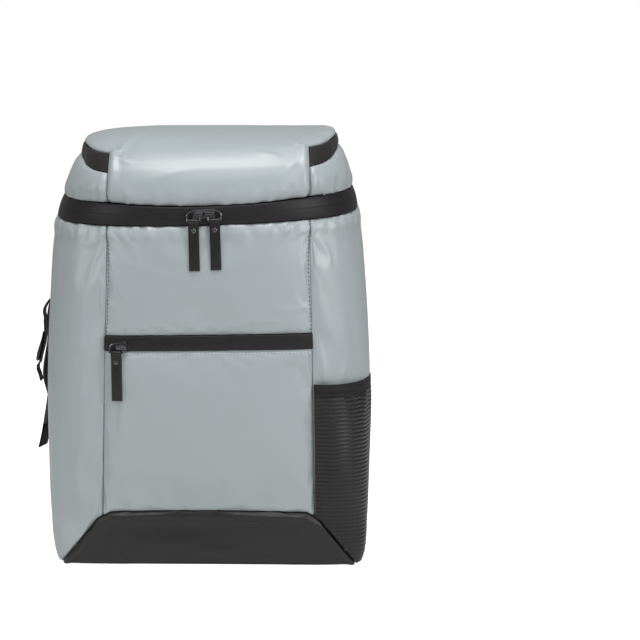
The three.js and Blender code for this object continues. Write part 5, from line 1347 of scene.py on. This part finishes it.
for name, side in [("left", -1), ("right", 1)]:
    high, low, tip = gusset_corners(side)
    to_tip = np.linspace(0, 0.97, 40)[:, None, None]
    across = np.linspace(0, 1, 44)[None, :, None]
    sheet = (low + (high - low) * across) * (1 - to_tip) + tip * to_tip
    normal = unit(np.cross(tip - high, low - high))
    left, right, start, end = distances(sheet)
    edge = np.minimum(np.minimum(left, right), np.minimum(start, end))
    half = GUSSET_THICK / 2 * np.sqrt(1 - (1 - np.clip(edge / 0.0012, 0, 1)) ** 2) * 0.92 + 0.00008
    stitched = 0.00018 * bump(edge, 0.003, 0.0008)
    filled = normal * (half - stitched)[..., None]
    front, rear = sheet + filled, sheet - filled
    flip = np.cross(sheet[0, 1] - sheet[0, 0], sheet[1, 0] - sheet[0, 0]) @ normal < 0
    faces = (rear, front) if flip else (front, rear)
    gusset = wall(f"gusset_{name}", *faces, gusset_cloth)
    belongs(gusset, "gusset_cloth", f"strap_gusset_{name}")


# The chest strap's end on the left strap: narrow webbing down the strap's outer edge, sewn down between its
# bights, with the moulded half of a buckle on it.
SMALL_WEBBING_WIDTH = 0.018
SMALL_WEBBING_TOP = 0.738
SMALL_WEBBING_LOW = 0.455
SMALL_WEBBING_BULGE = 0.003
SMALL_WEBBING = {
    "at": [0, 0.05, 0.11, 0.16, 0.21, 0.4, 0.6, 0.77, 0.81, 0.86, 0.92, 1],
    "bulge": [0.2, 0.6, 0.8, 0.55, 0, 0, 0, 0, 0.75, 0.7, 0.1, 0],
}


def left_strap_edge(height):
    """The outer edge of the left strap at heights."""
    at = np.linspace(0, 1, 2001)
    rows = STRAPS["left"]
    at = np.interp(-height, -column(rows, at, "up") * BODY_HEIGHT, at)
    out, bow, turn, width = (column(rows, at, key) for key in ("out", "bow", "turn", "width"))
    turn = np.radians(turn)
    reach = STRAP_WIDTH / 2 * width * np.cos(turn) + STRAP_THICK / 2 * np.sin(turn)
    y = BACK_Y + BACK_PAD_PROUD + STRAP_SEAT + STRAP_THICK / 2 + bow * STRAP_BOW
    return np.stack([-out * BODY_WIDTH / 2 - reach, y, height], -1)


drop = np.linspace(0, 1, 140)
heights = (SMALL_WEBBING_TOP + (SMALL_WEBBING_LOW - SMALL_WEBBING_TOP) * drop) * BODY_HEIGHT
path = left_strap_edge(heights)
bulge = np.interp(drop, SMALL_WEBBING["at"], SMALL_WEBBING["bulge"])
path[:, 0] -= WEBBING_THICK / 2 + 2 * WEBBING_GAP + bulge * SMALL_WEBBING_BULGE
rings = swept(path, [0, 1, 0], ribbon_section(SMALL_WEBBING_WIDTH, WEBBING_THICK))
edge_webbing = tube("chest_webbing", rings, webbing, uv=strip_uv(rings))
belongs(edge_webbing, "webbing", "edge_webbing_left")
moulded("chest_buckle", "edge_buckle_left", acetal, 0.0009, "buckle_plastic")


# The stitches: each row is thread laid along a line on the cloth, a rounded stitch at every pitch.
def thread(name, tone):
    made, tree, shader, coords = new_material(name)
    twist = add(tree, "ShaderNodeTexNoise", {"Scale": 2500.0}, {"Vector": coords.outputs["Object"]})
    shade = add(tree, "ShaderNodeMix", None, {"Factor": twist.outputs["Fac"]}, data_type="RGBA")
    shade.inputs["A"].default_value = colour(tone[0])
    shade.inputs["B"].default_value = colour(tone[1])
    tree.links.new(shade.outputs["Result"], shader.inputs["Base Color"])
    shader.inputs["Roughness"].default_value = 0.5
    return made


grey_thread = thread("bonded_polyester_thread_grey", ("b4babc", "c6cbcd"))
dark_thread = thread("bonded_polyester_thread_dark", ("141516", "222425"))
black_thread = thread("bonded_polyester_thread_black", ("101010", "1c1c1c"))


def stitch_nodes(name, material):
    """Geometry nodes that lay a rounded stitch at every pitch along each line of a mesh."""
    tree = bpy.data.node_groups.new(name, "GeometryNodeTree")
    tree.interface.new_socket("Lines", in_out="INPUT", socket_type="NodeSocketGeometry")
    sockets = {}
    for label, value in [("Pitch", 0.003), ("Stitch length", 0.0022), ("Thread", 0.0005)]:
        socket = tree.interface.new_socket(label, in_out="INPUT", socket_type="NodeSocketFloat")
        socket.default_value = value
        sockets[label] = socket.identifier
    tree.interface.new_socket("Stitches", in_out="OUTPUT", socket_type="NodeSocketGeometry")
    given, out = tree.nodes.new("NodeGroupInput"), tree.nodes.new("NodeGroupOutput")
    lines = add(tree, "GeometryNodeMeshToCurve", None, {"Mesh": given.outputs["Lines"]})
    spaced = add(tree, "GeometryNodeResampleCurve", None,
                 {"Curve": lines.outputs["Curve"], "Length": given.outputs["Pitch"]}, mode="LENGTH")
    along = add(tree, "GeometryNodeInputTangent")
    turn = add(tree, "FunctionNodeAlignRotationToVector", None, {"Vector": along.outputs["Tangent"]},
               axis="X")
    size = add(tree, "ShaderNodeCombineXYZ", None, {
        "X": given.outputs["Stitch length"], "Y": given.outputs["Thread"], "Z": given.outputs["Thread"]})
    stitch = add(tree, "GeometryNodeMeshUVSphere", {"Segments": 6, "Rings": 5, "Radius": 0.5})
    laid = add(tree, "GeometryNodeInstanceOnPoints", None, {
        "Points": spaced.outputs["Curve"], "Instance": stitch.outputs["Mesh"],
        "Rotation": turn.outputs["Rotation"], "Scale": size.outputs["Vector"]})
    real = add(tree, "GeometryNodeRealizeInstances", None, {"Geometry": laid.outputs["Instances"]})
    smooth = add(tree, "GeometryNodeSetShadeSmooth", None, {"Geometry": real.outputs["Geometry"]})
    coated = add(tree, "GeometryNodeSetMaterial", None, {"Geometry": smooth.outputs["Geometry"]})
    coated.inputs["Material"].default_value = material
    tree.links.new(coated.outputs["Geometry"], out.inputs["Stitches"])
    return tree, sockets


def sewn(name, rows, cloths, nodes, slot, pitch, length, across, sunk=0.15):
    """Rows of stitches laid on the cloths nearest to them."""
    tree, sockets = nodes
    points, edges = [], []
    for row in rows:
        start = len(points)
        for spot in row:
            best = None
            for cloth in cloths:
                hit, place, normal, _ = cloth.closest_point_on_mesh(Vector(spot))
                if hit and (best is None or (place - Vector(spot)).length < best[0]):
                    best = ((place - Vector(spot)).length, place + normal * across * (0.5 - sunk))
            points.append(best[1])
        edges += [(k, k + 1) for k in range(start, len(points) - 1)]
    mesh = bpy.data.meshes.new(name + "_lines")
    mesh.from_pydata([tuple(p) for p in points], edges, [])
    lines = bpy.data.objects.new(name + "_lines", mesh)
    bpy.context.scene.collection.objects.link(lines)
    sewing = lines.modifiers.new("stitches", "NODES")
    sewing.node_group = tree
    for label, value in [("Pitch", pitch), ("Stitch length", length), ("Thread", across)]:
        sewing[sockets[label]] = value
    evaluated = lines.evaluated_get(bpy.context.evaluated_depsgraph_get())
    plain = bpy.data.meshes.new_from_object(evaluated)
    bpy.data.objects.remove(lines)
    made = bpy.data.objects.new(name, plain)
    bpy.context.scene.collection.objects.link(made)
    belongs(made, slot)
    return made


grey_stitches = stitch_nodes("grey_stitches", grey_thread)
dark_stitches = stitch_nodes("dark_stitches", dark_thread)
black_stitches = stitch_nodes("black_stitches", black_thread)

# A light row holds the pocket's zip from below, and dark rows the upper front's seams.
UNDER_ZIP = 0.0032
STITCH_INSET = 0.0013
SEAM_FROM_AXIS = 0.13
share = np.linspace(-0.97, 0.97, 160)
row_level = (POCKET_ZIP_BOTTOM - UNDER_ZIP) / BODY_HEIGHT
seam = front_seam(np.array(row_level))
under_zip = skin(np.sign(share) * along_ring(row_level, 0.0, seam, np.abs(share)), np.array(row_level))
sewn("pocket_zip_stitches", [under_zip], [pocket_panel], grey_stitches, "grey_cloth", 0.0034, 0.0024, 0.0006)

levels = np.linspace((POCKET_ZIP_BOTTOM + POCKET_ZIP_WIDTH + 0.004) / BODY_HEIGHT, 0.985, 90)
rows = [skin(side * (front_seam(levels) - STITCH_INSET / SEAM_FROM_AXIS), levels) for side in (-1, 1)]
sewn("front_seam_stitches", rows, [front_panel], dark_stitches, "grey_cloth", 0.0036, 0.0026, 0.0006)

# Two rows on the pocket's hem and one along each edge of the straps' binding.
count = len(hem_face)
rows = [hem_face[int(round(part * (count - 1)))][3:-3] for part in (0.27, 0.73)]
sewn("hem_stitches", rows, [hem], dark_stitches, "hem_tape", 0.0028, 0.0020, 0.0005)
for strap, rows in strap_edges.items():
    sewn(strap.name + "_stitches", rows, [strap], black_stitches, "padding_cloth", 0.0032, 0.0024, 0.0005)
